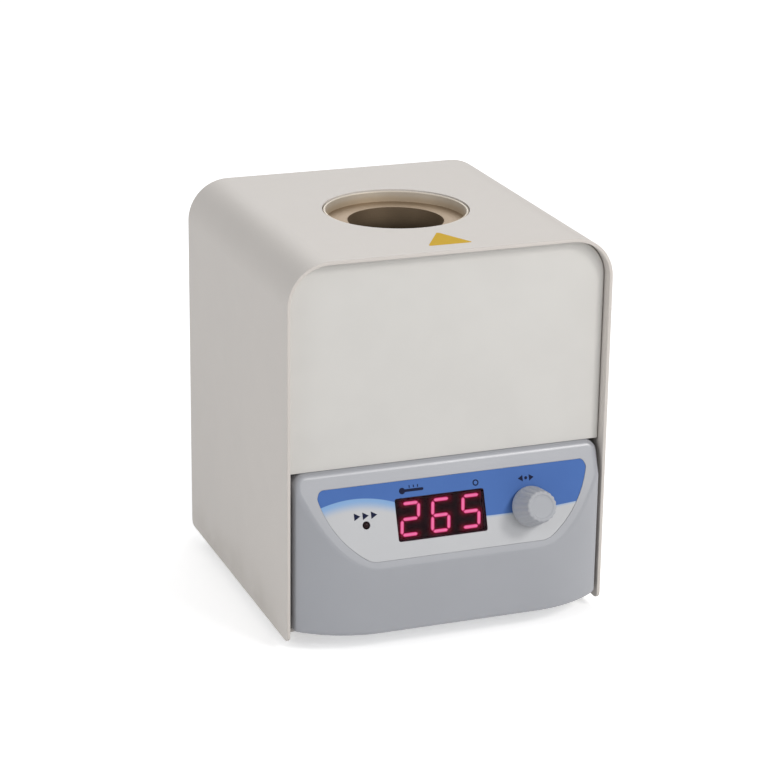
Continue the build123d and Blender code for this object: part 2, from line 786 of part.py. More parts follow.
with BuildPart() as support_plate:
    with BuildSketch(Plane.XY.offset(plate_bottom)):
        with Locations((0, well_y)):
            RectangleRounded(2 * plate_half_x, 2 * plate_half_y, plate_corner)
            Circle(well_radius + well_wall + plate_clearance, mode=Mode.SUBTRACT)
        with Locations(*pillar_places):
            Circle(screw_m4 + screw_clearance, mode=Mode.SUBTRACT)
        with Locations(*flange_screw_places):
            Circle(screw_m3 + screw_clearance, mode=Mode.SUBTRACT)
    extrude(amount=plate_sheet)
save(support_plate, "support_plate")
flange_screws = placed(
    pan_screw(screw_m3, flange_screw_length),
    [Location((x, y, plate_bottom), (180, 0, 0)) for x, y in flange_screw_places],
)
save(flange_screws, "flange_screws")

with BuildPart() as support_pillars:
    with BuildSketch(Plane.XY.offset(tray_top)):
        with Locations(*pillar_places):
            RegularPolygon(pillar_flat_width / 2, 6, major_radius=False)
            Circle(screw_m4 + pilot_clearance, mode=Mode.SUBTRACT)
    extrude(amount=plate_bottom - tray_top)
save(support_pillars, "support_pillars")
pillar_screws = placed(
    pan_screw(screw_m4, pillar_screw_length),
    [Location((x, y, plate_bottom + plate_sheet)) for x, y in pillar_places]
    + [Location((x, y, tray_bottom), (180, 0, 0)) for x, y in pillar_places],
)
save(pillar_screws, "pillar_screws")

# Heating and insulation
band_wall = 2.6
band_low = 9.0
band_height = 40.0
band_opening = 9.0
ear_length = 6.5
ear_thickness = 1.5
clamp_screw_length = 14.0
jacket_radius = 42.0
jacket_gap = 0.6
jacket_top_gap = 2.6
base_disc_thickness = 10.0
shield_wall = 0.8
shield_gap = 0.6
shield_flange = 7.0
probe_radius = 1.8
probe_length = 34.0
cutout_radius = 8.0
cutout_height = 6.0
cutout_cap = 2.0
cutout_tab = 5.0
cutout_tab_thickness = 0.8
ear_notch_width = 26.0

band_inner = well_radius + well_wall + bead_clearance
band_outer = band_inner + band_wall
band_bottom = well_bottom + band_low
band_top = band_bottom + band_height
disc_bottom = well_bottom - base_disc_thickness
shield_radius = jacket_radius + shield_gap + shield_wall
ear_tip_y = well_y + band_outer + ear_length

with BuildPart() as heater_band:
    add(ring(band_bottom, band_top, band_outer, band_inner))
    with BuildSketch(Plane.XY.offset(band_bottom)):
        for side in (-1, 1):
            with Locations((side * (band_opening + ear_thickness) / 2, (ear_tip_y + well_y + band_inner) / 2)):
                Rectangle(ear_thickness, ear_tip_y - well_y - band_inner)
    extrude(amount=band_height)
    with BuildSketch(Plane.XY.offset(band_bottom)):
        with Locations((0, ear_tip_y)):
            Rectangle(band_opening, 2 * (ear_length + band_wall + 1))
    extrude(amount=band_height, mode=Mode.SUBTRACT)
    with Locations(Location((0, ear_tip_y - ear_length / 2, band_bottom + band_height / 2), (0, 90, 0))):
        Hole(screw_m3 + screw_clearance)
save(heater_band, "heater_band")
clamp_place = Location(
    (band_opening / 2 + ear_thickness, ear_tip_y - ear_length / 2, band_bottom + band_height / 2), (0, 90, 0)
)
clamp_screw = placed(pan_screw(screw_m3, clamp_screw_length), [clamp_place])
save(clamp_screw, "clamp_screw")

with BuildPart() as temperature_probe:
    with BuildSketch(Plane.XY.offset(band_bottom)):
        with Locations((0, well_y + band_inner + probe_radius)):
            Circle(probe_radius)
    extrude(amount=probe_length)
    fillet(edges().group_by(Axis.Z)[-1], probe_radius / 2)
save(temperature_probe, "temperature_probe")

with BuildPart() as insulation_jacket:
    add(ring(well_bottom, plate_bottom - jacket_top_gap, jacket_radius, band_outer + jacket_gap))
    with BuildSketch(Plane.XY.offset(well_bottom)):
        with Locations((0, well_y + band_outer)):
            Rectangle(ear_notch_width, 2 * (ear_length + 2))
    extrude(amount=cover_height, mode=Mode.SUBTRACT)
save(insulation_jacket, "insulation_jacket")

with BuildPart() as insulation_base:
    add(ring(disc_bottom, well_bottom, jacket_radius))
save(insulation_base, "insulation_base")

with BuildPart() as heat_shield:
    add(ring(disc_bottom - shield_wall, plate_bottom, shield_radius))
    add(ring(plate_bottom - shield_wall, plate_bottom, shield_radius + shield_flange))
    add(ring(disc_bottom, plate_bottom, shield_radius - shield_wall), mode=Mode.SUBTRACT)
save(heat_shield, "heat_shield")

with BuildPart() as thermal_cutout:
    add(ring(disc_bottom - shield_wall - cutout_cap, disc_bottom - shield_wall, cutout_radius))
    add(ring(disc_bottom - shield_wall - cutout_cap - cutout_height, disc_bottom - shield_wall - cutout_cap,
             cutout_radius - 1))
    with BuildSketch(Plane.XY.offset(disc_bottom - shield_wall - cutout_cap - cutout_height)):
        with Locations((-cutout_tab / 1.5, well_y), (cutout_tab / 1.5, well_y)):
            Rectangle(cutout_tab_thickness, cutout_tab)
    extrude(amount=-cutout_tab)
save(thermal_cutout, "thermal_cutout")

# Sheet-metal bulkhead behind the front mouldings
bulkhead_half = inner_half - 5.5
bulkhead_top = inner_top - 9.5
bulkhead_foot_width = 74.0
bulkhead_slot_length = 40.0
bulkhead_slot_width = 14.0
bulkhead_slot_z = 78.0
moulding_screw_length = 8.5

boss_places = panel_boss_places + fascia_boss_places
bulkhead_back = moulding_back + bulkhead_sheet

with BuildPart() as front_bulkhead:
    with BuildSketch(Plane.XZ.offset(-bulkhead_back)):
        with Locations((0, tray_top)):
            Rectangle(2 * bulkhead_half, bulkhead_top - tray_top, align=(Align.CENTER, Align.MIN))
        with Locations(*boss_places):
            Circle(screw_m3 + screw_clearance, mode=Mode.SUBTRACT)
        with Locations((0, bulkhead_slot_z)):
            SlotOverall(bulkhead_slot_length, bulkhead_slot_width, mode=Mode.SUBTRACT)
    extrude(amount=bulkhead_sheet)
    with BuildSketch(Plane.XY.offset(tray_top)):
        with Locations((0, moulding_back)):
            Rectangle(bulkhead_foot_width, bulkhead_flange + bulkhead_sheet, align=(Align.CENTER, Align.MIN))
        with Locations(*[(side * chassis_screw_x, flange_hole_y) for side in (-1, 1)]):
            Circle(screw_m3 + pilot_clearance, mode=Mode.SUBTRACT)
    extrude(amount=bulkhead_sheet)
save(front_bulkhead, "front_bulkhead")
moulding_screws = placed(
    pan_screw(pilot_radius, moulding_screw_length + bulkhead_sheet),
    [Location((x, bulkhead_back, z), (-90, 0, 0)) for x, z in boss_places],
)
save(moulding_screws, "moulding_screws")
board_screws = placed(
    pan_screw(pilot_radius, board_thickness + pilot_depth / 2),
    [
        Plane(face_plane.from_local_coords((u, v, -board_depth - board_thickness)),
              x_dir=(1, 0, 0), z_dir=-face_plane.z_dir).location
        for u, v in board_post_places
    ],
)
save(board_screws, "board_screws")

# Rear panel: a shallow pan set into the cover, with louvre slots, an inlet and a switch
pan_sheet = 1.2
pan_gap = 0.6
vent_length = 30.0
vent_width = 2.6
vent_pitch = 7.0
vent_rows = 8
vent_column_pitch = 44.0
vent_z = 108.0
inlet_x = -24.0
inlet_z = 34.0
inlet_width = 31.0
inlet_height = 40.0
inlet_bezel = 2.5
inlet_bezel_round = 3.0
inlet_body_width = 27.0
inlet_body_height = 36.0
inlet_body_depth = 24.0
panel_cut_clearance = 0.2
socket_width = 24.0
socket_height = 16.5
socket_chamfer = 4.5
socket_depth = 16.0
socket_v = 7.0
pin_width = 2.0
pin_height = 4.0
pin_spacing = 7.0
pin_offset = 2.0
pin_tip_depth = 4.8
pin_tail = 7.0
drawer_width = 20.0
drawer_height = 7.0
drawer_depth = 22.0
drawer_v = -12.0
drawer_clearance = 0.3
drawer_front = 1.2
drawer_lip = 0.8
fuse_radius = 2.6
fuse_length = 20.0
fuse_cap_length = 5.0
fuse_glass_radius = 2.4
fuse_clearance = 0.2
switch_x = 24.0
switch_z = 34.0
switch_width = 15.0
switch_height = 21.0
switch_bezel = 2.0
switch_bezel_round = 1.5
switch_body_width = 13.0
switch_body_height = 19.2
switch_body_depth = 16.0
switch_wall = 0.7
rocker_half_width = 5.5
rocker_half_height = 8.0
rocker_dip = 1.0
rocker_front = 3.2
rocker_pivot_depth = 2.0
rocker_thickness = 3.4
rocker_tilt = 8.0
rocker_pin_radius = 1.0
rocker_cavity_depth = 7.0
tab_width = 4.8
tab_thickness = 0.8
tab_length = 7.0

pan_half = inner_half - pan_gap
inlet_plane = Plane((inlet_x, pan_face_y, inlet_z), x_dir=(-1, 0, 0), z_dir=(0, 1, 0))
switch_plane = Plane((switch_x, pan_face_y, switch_z), x_dir=(-1, 0, 0), z_dir=(0, 1, 0))

with BuildPart() as rear_panel:
    with BuildSketch(Plane.XZ.offset(-pan_face_y)):
        with Locations((0, tray_top)):
            Rectangle(2 * pan_half, inner_top - pan_gap - tray_top, align=(Align.CENTER, Align.MIN))
        fillet(vertices().group_by(Axis.Y)[-1], cover_corner_radius - cover_sheet - pan_gap)
    extrude(amount=pan_flange)
    pan_mouth = faces().sort_by(Axis.Y)[0]
    offset(amount=-pan_sheet, openings=pan_mouth)
    with BuildSketch(Plane.XZ.offset(-pan_face_y)):
        with Locations((inlet_x, inlet_z)):
            Rectangle(inlet_body_width + 2 * panel_cut_clearance, inlet_body_height + 2 * panel_cut_clearance)
        with Locations((switch_x, switch_z)):
            Rectangle(switch_body_width + 2 * panel_cut_clearance, switch_body_height + 2 * panel_cut_clearance)
        with Locations((0, vent_z)):
            with GridLocations(vent_column_pitch, vent_pitch, 2, vent_rows):
                SlotOverall(vent_length, vent_width)
    extrude(amount=pan_sheet, mode=Mode.SUBTRACT)
    with BuildSketch(Plane.XY.offset(tray_top)):
        with Locations(*[(side * chassis_screw_x, pan_front_y + pan_flange / 2) for side in (-1, 1)]):
            Circle(screw_m3 + pilot_clearance)
    extrude(amount=pan_sheet, mode=Mode.SUBTRACT)
save(rear_panel, "rear_panel")

chassis_screws = placed(
    pan_screw(screw_m3, chassis_screw_length),
    [Location((x, y, tray_bottom), (180, 0, 0)) for x, y in chassis_screw_places],
)
save(chassis_screws, "chassis_screws")

pin_places = {
    "inlet_pin_left": (-pin_spacing, socket_v - pin_offset),
    "inlet_pin_right": (pin_spacing, socket_v - pin_offset),
    "inlet_pin_earth": (0, socket_v + pin_offset),
}
socket_floor = inlet_bezel - socket_depth

with BuildPart() as power_inlet:
    with BuildSketch(inlet_plane):
        RectangleRounded(inlet_width, inlet_height, inlet_bezel_round)
    extrude(amount=inlet_bezel)
    with BuildSketch(inlet_plane):
        Rectangle(inlet_body_width, inlet_body_height)
    extrude(amount=-inlet_body_depth)
    with BuildSketch(inlet_plane.offset(inlet_bezel)):
        with Locations((0, socket_v)):
            Rectangle(socket_width, socket_height)
        chamfer(vertices().group_by(Axis.Y)[-1], socket_chamfer)
    extrude(amount=-socket_depth, mode=Mode.SUBTRACT)
    with BuildSketch(inlet_plane.offset(inlet_bezel)):
        with Locations((0, drawer_v)):
            Rectangle(drawer_width + 2 * drawer_clearance, drawer_height + 2 * drawer_clearance)
    extrude(amount=-drawer_depth - drawer_clearance, mode=Mode.SUBTRACT)
    with BuildSketch(inlet_plane.offset(socket_floor)):
        with Locations(*pin_places.values()):
            Rectangle(pin_width, pin_height)
    extrude(amount=-inlet_body_depth, mode=Mode.SUBTRACT)
save(power_inlet, "power_inlet")

for name, place in pin_places.items():
    with BuildPart() as inlet_pin:
        with BuildSketch(inlet_plane.offset(-inlet_body_depth - pin_tail)):
            with Locations(place):
                Rectangle(pin_width, pin_height)
        extrude(amount=inlet_body_depth + pin_tail + inlet_bezel - pin_tip_depth)
        fillet(faces().sort_by(Axis.Y)[-1].edges(), pin_width / 4)
    save(inlet_pin, name)

fuse_low = inlet_bezel - drawer_depth + (drawer_depth - drawer_front - fuse_length) / 2
drawer_plane = inlet_plane.offset(inlet_bezel)
with BuildPart() as fuse_drawer:
    with BuildSketch(drawer_plane):
        with Locations((0, drawer_v)):
            Rectangle(drawer_width, drawer_height)
    extrude(amount=-drawer_depth)
    with BuildSketch(drawer_plane):
        with Locations((0, drawer_v + drawer_height / 2 - drawer_lip)):
            Rectangle(drawer_width / 2, 2 * drawer_lip)
    extrude(amount=drawer_front)
    with BuildSketch(inlet_plane.offset(fuse_low - fuse_clearance)):
        with Locations((0, drawer_v + drawer_height / 2)):
            Rectangle(2 * (fuse_radius + fuse_clearance), 2 * (drawer_height - drawer_lip))
    extrude(amount=fuse_length + 2 * fuse_clearance, mode=Mode.SUBTRACT)
save(fuse_drawer, "fuse_drawer")

fuse_v = drawer_v - drawer_height / 2 + drawer_lip + fuse_radius
with BuildPart() as fuse_link:
    with BuildSketch(inlet_plane.offset(fuse_low)):
        with Locations((0, fuse_v)):
            Circle(fuse_glass_radius)
    extrude(amount=fuse_length)
    for low in (fuse_low, fuse_low + fuse_length - fuse_cap_length):
        with BuildSketch(inlet_plane.offset(low)):
            with Locations((0, fuse_v)):
                Circle(fuse_radius)
        extrude(amount=fuse_cap_length)
save(fuse_link, "fuse_link")

with BuildPart() as switch_housing:
    with BuildSketch(switch_plane):
        RectangleRounded(switch_width, switch_height, switch_bezel_round)
    extrude(amount=switch_bezel)
    with BuildSketch(switch_plane):
        Rectangle(switch_body_width, switch_body_height)
    extrude(amount=-switch_body_depth)
    with BuildSketch(switch_plane.offset(switch_bezel)):
        Rectangle(switch_body_width - 2 * switch_wall, switch_body_height - 2 * switch_wall)
    extrude(amount=-switch_bezel - rocker_cavity_depth, mode=Mode.SUBTRACT)
    with BuildSketch(switch_plane.offset(-switch_body_depth)):
        with GridLocations(0, switch_body_height / 2, 1, 2):
            Rectangle(tab_width, tab_thickness)
    extrude(amount=-tab_length)
save(switch_housing, "switch_housing")

rocker_lean = radians(rocker_tilt)
rocker_side = Plane(
    switch_plane.from_local_coords((0, 0, -rocker_pivot_depth)),
    x_dir=(0, -sin(rocker_lean), cos(rocker_lean)),
    z_dir=(-1, 0, 0),
)
with BuildPart() as switch_rocker:
    with BuildSketch(rocker_side):
        with BuildLine():
            Polyline(
                (-rocker_half_height, rocker_front + rocker_pivot_depth),
                (0, rocker_front + rocker_pivot_depth - rocker_dip),
                (rocker_half_height, rocker_front + rocker_pivot_depth),
                (rocker_half_height - rocker_dip, rocker_pivot_depth - rocker_thickness),
                (-rocker_half_height + rocker_dip, rocker_pivot_depth - rocker_thickness),
                close=True,
            )
        make_face()
    extrude(amount=rocker_half_width, both=True)
    with BuildSketch(rocker_side):
        Circle(rocker_pin_radius)
    extrude(amount=switch_body_width / 2 - switch_wall, both=True)
save(switch_rocker, "switch_rocker")

# Power board on four standoffs under the well
power_width = 72.0
power_length = 60.0
power_hole_inset = 4.0
power_setback = 5.4
standoff_height = 8.0
standoff_flat_width = 5.5
transformer_width = 30.0
transformer_length = 26.0
transformer_height = 22.0
transformer_x = -16.0
transformer_edge_round = 0.8
bobbin_height = 14.0
bobbin_overhang = 4.0
sink_width = 26.0
sink_length = 18.0
sink_height = 24.0
sink_base = 3.0
sink_fin = 1.4
sink_fin_count = 6
sink_x = 18.0
sink_y = 14.0
terminal_ways = 5
terminal_pitch = 5.08
terminal_depth = 9.0
terminal_height = 12.0
terminal_step = 4.0
terminal_x = 14.0
terminal_y = -20.0
terminal_screw_radius = 1.6

power_bottom = tray_top + standoff_height
power_top = power_bottom + board_thickness
power_y = (bulkhead_back + pan_face_y - inlet_body_depth) / 2 + power_setback
standoff_places = [
    (sx * (power_width / 2 - power_hole_inset), power_y + sy * (power_length / 2 - power_hole_inset))
    for sx in (-1, 1)
    for sy in (-1, 1)
]

with BuildPart() as power_board:
    with BuildSketch(Plane.XY.offset(power_bottom)):
        with Locations((0, power_y)):
            RectangleRounded(power_width, power_length, board_corner)
        with Locations(*standoff_places):
            Circle(screw_m3 + screw_clearance, mode=Mode.SUBTRACT)
    extrude(amount=board_thickness)
save(power_board, "power_board")

with BuildPart() as board_standoffs:
    with BuildSketch(Plane.XY.offset(tray_top)):
        with Locations(*standoff_places):
            RegularPolygon(standoff_flat_width / 2, 6, major_radius=False)
            Circle(screw_m3 + pilot_clearance, mode=Mode.SUBTRACT)
    extrude(amount=standoff_height)
save(board_standoffs, "board_standoffs")
power_board_screws = placed(
    pan_screw(screw_m3, board_thickness + standoff_height / 2),
    [Location((x, y, power_top)) for x, y in standoff_places],
)
save(power_board_screws, "power_board_screws")

with BuildPart() as mains_transformer:
    with BuildSketch(Plane.XY.offset(power_top)):
        with Locations((transformer_x, power_y)):
            Rectangle(transformer_width, transformer_length)
    extrude(amount=transformer_height)
    fillet(edges().group_by(Axis.Z)[-1], transformer_edge_round)
    with BuildSketch(Plane.XY.offset(power_top + (transformer_height - bobbin_height) / 2)):
        with Locations((transformer_x, power_y)):
            RectangleRounded(transformer_width - 2 * bobbin_overhang, transformer_length + 2 * bobbin_overhang,
                             bobbin_overhang / 2)
    extrude(amount=bobbin_height)
save(mains_transformer, "mains_transformer")

with BuildPart() as triac_heatsink:
    with BuildSketch(Plane.XY.offset(power_top)):
        with Locations((sink_x, power_y + sink_y)):
            Rectangle(sink_width, sink_base)
            with GridLocations((sink_width - sink_fin) / (sink_fin_count - 1), 1, sink_fin_count, 1):
                Rectangle(sink_fin, sink_length)
    extrude(amount=sink_height)
save(triac_heatsink, "triac_heatsink")

with BuildPart() as terminal_block:
    with BuildSketch(Plane.XY.offset(power_top)):
        with Locations((terminal_x, power_y + terminal_y)):
            Rectangle(terminal_ways * terminal_pitch, terminal_depth)
    extrude(amount=terminal_height)
    step_edge = edges().group_by(Axis.Z)[-1].sort_by(Axis.Y)[0]
    chamfer(step_edge, terminal_step)
    with BuildSketch(Plane.XY.offset(power_top + terminal_height)):
        with Locations((terminal_x, power_y + terminal_y + terminal_step / 2)):
            with GridLocations(terminal_pitch, 1, terminal_ways, 1):
                Circle(terminal_screw_radius)
    extrude(amount=-terminal_step, mode=Mode.SUBTRACT)
save(terminal_block, "terminal_block")
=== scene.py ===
from math import atan2, cos, pi, radians, sin, sqrt, tan

import bmesh
import bpy
import numpy as np
from mathutils import Matrix


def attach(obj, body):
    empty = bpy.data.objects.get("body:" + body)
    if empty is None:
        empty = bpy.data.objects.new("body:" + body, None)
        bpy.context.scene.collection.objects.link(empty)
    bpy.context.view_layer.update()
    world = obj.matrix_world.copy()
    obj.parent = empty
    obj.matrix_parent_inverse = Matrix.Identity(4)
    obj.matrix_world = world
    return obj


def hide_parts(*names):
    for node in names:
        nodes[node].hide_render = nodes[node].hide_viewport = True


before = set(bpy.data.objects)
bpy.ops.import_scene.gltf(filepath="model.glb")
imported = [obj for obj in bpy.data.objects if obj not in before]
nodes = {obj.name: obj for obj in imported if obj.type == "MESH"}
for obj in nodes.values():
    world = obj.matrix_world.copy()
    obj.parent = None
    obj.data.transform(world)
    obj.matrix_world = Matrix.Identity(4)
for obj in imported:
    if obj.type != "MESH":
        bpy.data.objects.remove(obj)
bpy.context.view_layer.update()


# Camera: a long lens a metre away, to the left of the front and a little above
# it, turned so that the near corner of the cover stands upright.
MM = 0.001
eye = np.array((-372.906, -967.867, 447.609)) * MM
right = np.array((0.9364125, -0.3506814, 0.0124165))
ahead = np.array((0.3350098, 0.8829170, -0.3289773))
ahead /= np.linalg.norm(ahead)
right -= ahead * (right @ ahead)
right /= np.linalg.norm(right)


def stand(name, data, place, side, top, back):
    """A camera or lamp at place, in metres: its X along side, its Y along top, and its view
    or light away from back."""
    made = bpy.data.objects.new(name, data)
    bpy.context.scene.collection.objects.link(made)
    made.matrix_world = Matrix(
        [[side[i], top[i], back[i], place[i]] for i in range(3)] + [[0, 0, 0, 1]]
    )
    return made


long_lens = bpy.data.cameras.new("bench_camera")
long_lens.sensor_width = 36.0
long_lens.lens = 121.68
long_lens.clip_start = 0.05
long_lens.clip_end = 20.0
bpy.context.scene.camera = stand(
    "bench_camera", long_lens, eye, right, np.cross(right, ahead), -ahead
)
bpy.context.scene.view_settings.view_transform = "Standard"


# Bench and studio: a pale laminate bench top in an even white room. Of four
# soft square lamps one stands high on the right, a low one in front for the
# sheen of the inclined face, one on the left and one behind.
class Signal:
    """A shader socket in an expression: each operator adds its own Math node."""

    def __init__(self, wiring, socket):
        self.wiring, self.socket = wiring, socket

    def worked(self, operation, first, second):
        return self.wiring.node("ShaderNodeMath", {"operation": operation}, {0: first, 1: second})

    def __add__(self, other):
        return self.worked("ADD", self, other)

    def __sub__(self, other):
        return self.worked("SUBTRACT", self, other)

    def __rsub__(self, other):
        return self.worked("SUBTRACT", other, self)

    def __mul__(self, other):
        return self.worked("MULTIPLY", self, other)

    def __pow__(self, other):
        return self.worked("POWER", self, other)

    def __rpow__(self, other):
        return self.worked("POWER", other, self)

    def largest(self, other):
        return self.worked("MAXIMUM", self, other)

    __radd__ = __add__
    __rmul__ = __mul__


class Wiring:
    """The nodes of one finish, or of the room, and the end node that they feed."""

    def __init__(self, tree, end):
        self.tree, self.end = tree, tree.nodes[end]

    def node(self, kind, settings, inputs, output=0):
        """Any node: its settings first, then the numbers or signals of its sockets."""
        made = self.tree.nodes.new(kind)
        for label, value in settings.items():
            setattr(made, label, value)
        for label, value in inputs.items():
            if isinstance(value, Signal):
                self.tree.links.new(value.socket, made.inputs[label])
            else:
                made.inputs[label].default_value = value
        return Signal(self, made.outputs[output])

    def feed(self, label, signal):
        self.tree.links.new(signal.socket, self.end.inputs[label])

    def looked_at(self):
        """1 on rays of the camera, of gloss and of glass, and 0 on those that light."""
        camera, gloss, glass = (
            self.node("ShaderNodeLightPath", {}, {}, f"Is {kind} Ray")
            for kind in ("Camera", "Glossy", "Transmission")
        )
        return camera.largest(gloss).largest(glass)


class Finish(Wiring):
    """One surface finish of the sterilizer: a Principled shader and what feeds it."""

    def __init__(self, name, constants):
        self.material = bpy.data.materials.new(name)
        self.material.use_nodes = True
        super().__init__(self.material.node_tree, "Principled BSDF")
        for label, value in constants.items():
            self.end.inputs[label].default_value = value

    def place(self):
        return self.node("ShaderNodeTexCoord", {}, {}, "Object")

    def axes(self, vector):
        """The three parts of a vector signal."""
        split = self.node("ShaderNodeSeparateXYZ", {}, {0: vector})
        return [Signal(self, socket) for socket in split.socket.node.outputs]

    def noise(self, vector, size, detail=2.0, roughness=0.5):
        """Even noise from 0 to 1 whose lumps are about size metres across."""
        sockets = {"Vector": vector, "Scale": 1 / size, "Detail": detail, "Roughness": roughness}
        return self.node("ShaderNodeTexNoise", {}, sockets)

    def blend(self, share, low, high):
        """Colour low where share is 0 and high where it is 1."""
        return self.node(
            "ShaderNodeMix", {"data_type": "RGBA"}, {0: share, 6: low, 7: high}, 2
        )

    def band(self, value, low, high):
        """0 below low and 1 above high, with a smooth step between them."""
        return self.node(
            "ShaderNodeMapRange",
            {"interpolation_type": "SMOOTHSTEP"},
            {"Value": value, "From Min": low, "From Max": high},
        )

    def relief(self, height, depth):
        """Bump of a 0 to 1 height, depth metres from its lowest to its highest."""
        bump = {"Height": height, "Distance": depth, "Strength": 1.0}
        self.feed("Normal", self.node("ShaderNodeBump", {}, bump))


def wear(finish, *names):
    """The finish on CAD nodes or on new pieces."""
    for name in names:
        data = nodes[name].data if name in nodes else bpy.data.objects[name].data
        data.materials.clear()
        data.materials.append(finish.material)


def piece(name, points, faces, smooth=True):
    """A mesh from points in metres and faces, each a row of point numbers."""
    mesh = bpy.data.meshes.new(name)
    rows = [list(map(int, face)) for face in faces]
    mesh.from_pydata(np.asarray(points, float).tolist(), [], rows)
    mesh.polygons.foreach_set("use_smooth", np.full(len(mesh.polygons), smooth))
    mesh.validate()
    mesh.update()
    made = bpy.data.objects.new(name, mesh)
    bpy.context.scene.collection.objects.link(made)
    return made


def sheet_faces(rows, columns, around=False):
    """Quads of a grid numbered row by row; around joins its last column to its first."""
    reach = columns if around else columns - 1
    r, c = np.meshgrid(np.arange(rows - 1), np.arange(reach), indexing="ij")
    next_c = (c + 1) % columns
    lower, upper = r * columns, (r + 1) * columns
    return np.stack((lower + c, lower + next_c, upper + next_c, upper + c), -1).reshape(-1, 4)


black, white = (0, 0, 0, 1), (1, 1, 1, 1)
bench_reach, bench_lines = 6.0, 25
bench_steps = np.linspace(-bench_reach, bench_reach, bench_lines)
bench_x, bench_y = (line.ravel() for line in np.meshgrid(bench_steps, bench_steps))
bench_top = piece(
    "bench_top",
    np.stack((bench_x, bench_y, np.zeros(bench_x.size)), -1),
    sheet_faces(bench_lines, bench_lines),
)
laminate = Finish(
    "bench_laminate",
    {
        "Base Color": (0.86, 0.86, 0.86, 1),
        "Roughness": 0.7,
        "Specular IOR Level": 0.2,
        "Emission Strength": 0.5,
    },
)
laminate.feed("Emission Color", laminate.blend(laminate.looked_at(), black, white))
wear(laminate, "bench_top")

white_room = bpy.data.worlds.new("white_room")
bpy.context.scene.world = white_room
white_room.use_nodes = True
white_room.node_tree.nodes.remove(white_room.node_tree.nodes["Background"])
room = Wiring(white_room.node_tree, "World Output")
room_light = room.node(
    "ShaderNodeBackground", {}, {"Color": (0.97, 0.985, 1.0, 1), "Strength": 0.40}
)
room_walls = room.node("ShaderNodeBackground", {}, {"Color": white, "Strength": 1.0})
room_mix = {0: room.looked_at(), 1: room_light, 2: room_walls}
room.feed("Surface", room.node("ShaderNodeMixShader", {}, room_mix))


def soft_lamp(name, place, aim, size, power, colour):
    """Square area lamp at place that points at aim, both in metres."""
    data = bpy.data.lights.new(name, "AREA")
    data.size, data.energy, data.color = size, power, colour
    back = np.array(place) - np.array(aim)
    back /= np.linalg.norm(back)
    side = np.cross((0, 0, 1), back)
    side /= np.linalg.norm(side)
    stand(name, data, place, side, np.cross(back, side), back)


middle, lower_front = (0, 0, 0.08), (0, 0, 0.06)
soft_lamp(
    "key_lamp", (0.60, -0.84, 0.84), middle, size=0.26, power=5.1, colour=(1.0, 0.98, 0.955)
)
soft_lamp(
    "sheen_lamp", (0.42, -1.04, 0.62), lower_front, size=0.22, power=2.5, colour=(1.0, 0.98, 0.97)
)
soft_lamp(
    "fill_lamp", (-1.2, -0.3, 0.6), middle, size=0.8, power=3.7, colour=(0.97, 0.98, 1.0)
)
soft_lamp("rear_lamp", (0.3, 1.1, 0.9), middle, size=0.8, power=3.9, colour=(1.0, 1.0, 1.0))


# Outer cover: one steel sheet folded into an inverted U and powder coated
# warm white, with its front and rear edges left open for the panels.
def paint(code):
    """Linear colour of a six-digit sRGB code."""
    parts = [int(code[i : i + 2], 16) / 255 for i in (0, 2, 4)]
    return tuple(
        c / 12.92 if c <= 0.04045 else ((c + 0.055) / 1.055) ** 2.4 for c in parts
    ) + (1.0,)


def shade(colour, share):
    """The same colour, darker or lighter."""
    return tuple(min(1.0, c * share) for c in colour[:3]) + (1.0,)


def powder_coat(name, code, dusty):
    """Baked powder: a fine orange peel over slow swells, a faint mottle of tone with darker
    specks, and a little dust on the lowest 30 mm."""
    finish = Finish(name, {"Specular IOR Level": 0.28})
    at = finish.place()
    peel = finish.noise(at, size=0.0011, roughness=0.55)
    swell = finish.noise(at, size=0.006, detail=1.0)
    mottle = finish.noise(at, size=0.035, detail=3.0, roughness=0.6)
    speck = finish.noise(at, size=0.00035, detail=1.0)
    coat, dust = paint(code), paint("a49c90")
    tone = finish.blend(finish.band(mottle, 0.3, 0.7), shade(coat, 0.985), shade(coat, 1.01))
    tone = finish.blend(finish.band(speck, 0.62, 0.8) * 0.25, tone, shade(coat, 0.9))
    height = finish.axes(at)[2]
    settled = finish.band(height, 0.03, 0.004) * finish.band(mottle, 0.35, 0.75) * dusty
    finish.feed("Base Color", finish.blend(settled, tone, dust))
    finish.feed("Roughness", 0.4 + mottle * 0.12 + swell * 0.05)
    finish.relief(peel * 0.8 + swell * 0.2, depth=0.000035)
    return finish


wear(powder_coat("cover_paint", "d3cdc7", dusty=0.3), "outer_cover")


# Front panel: a flat moulding behind the cover's front edge, in a fine matt
# grain a shade cooler than the paint, screwed from behind.
def moulded(name, code, rough, grain, depth, handled=0.0, shine=0.4):
    """Injection moulding: spark-eroded grain, slow sink marks and a handled sheen."""
    finish = Finish(name, {"Specular IOR Level": shine})
    at = finish.place()
    pits = finish.noise(at, size=grain, detail=3.0, roughness=0.6)
    sink = finish.noise(at, size=0.02)
    tone = paint(code)
    sunk = finish.band(sink, 0.3, 0.7)
    finish.feed("Base Color", finish.blend(sunk, shade(tone, 0.985), shade(tone, 1.012)))
    finish.feed("Roughness", rough + pits * 0.1 - finish.band(sink, 0.5, 0.8) * handled)
    finish.relief(pits, depth)
    return finish


wear(moulded("panel_plastic", "d5d3cf", rough=0.5, grain=0.0005, depth=0.000018), "front_panel")


# Control fascia: one bowed moulding in cool grey with a boat-shaped recess
# for the printed film on its inclined face, screwed from behind.
fascia_plastic = moulded(
    "fascia_plastic", "9a9ca2", rough=0.3, grain=0.00055, depth=0.00002, handled=0.03, shine=1.0
)
wear(fascia_plastic, "control_fascia")


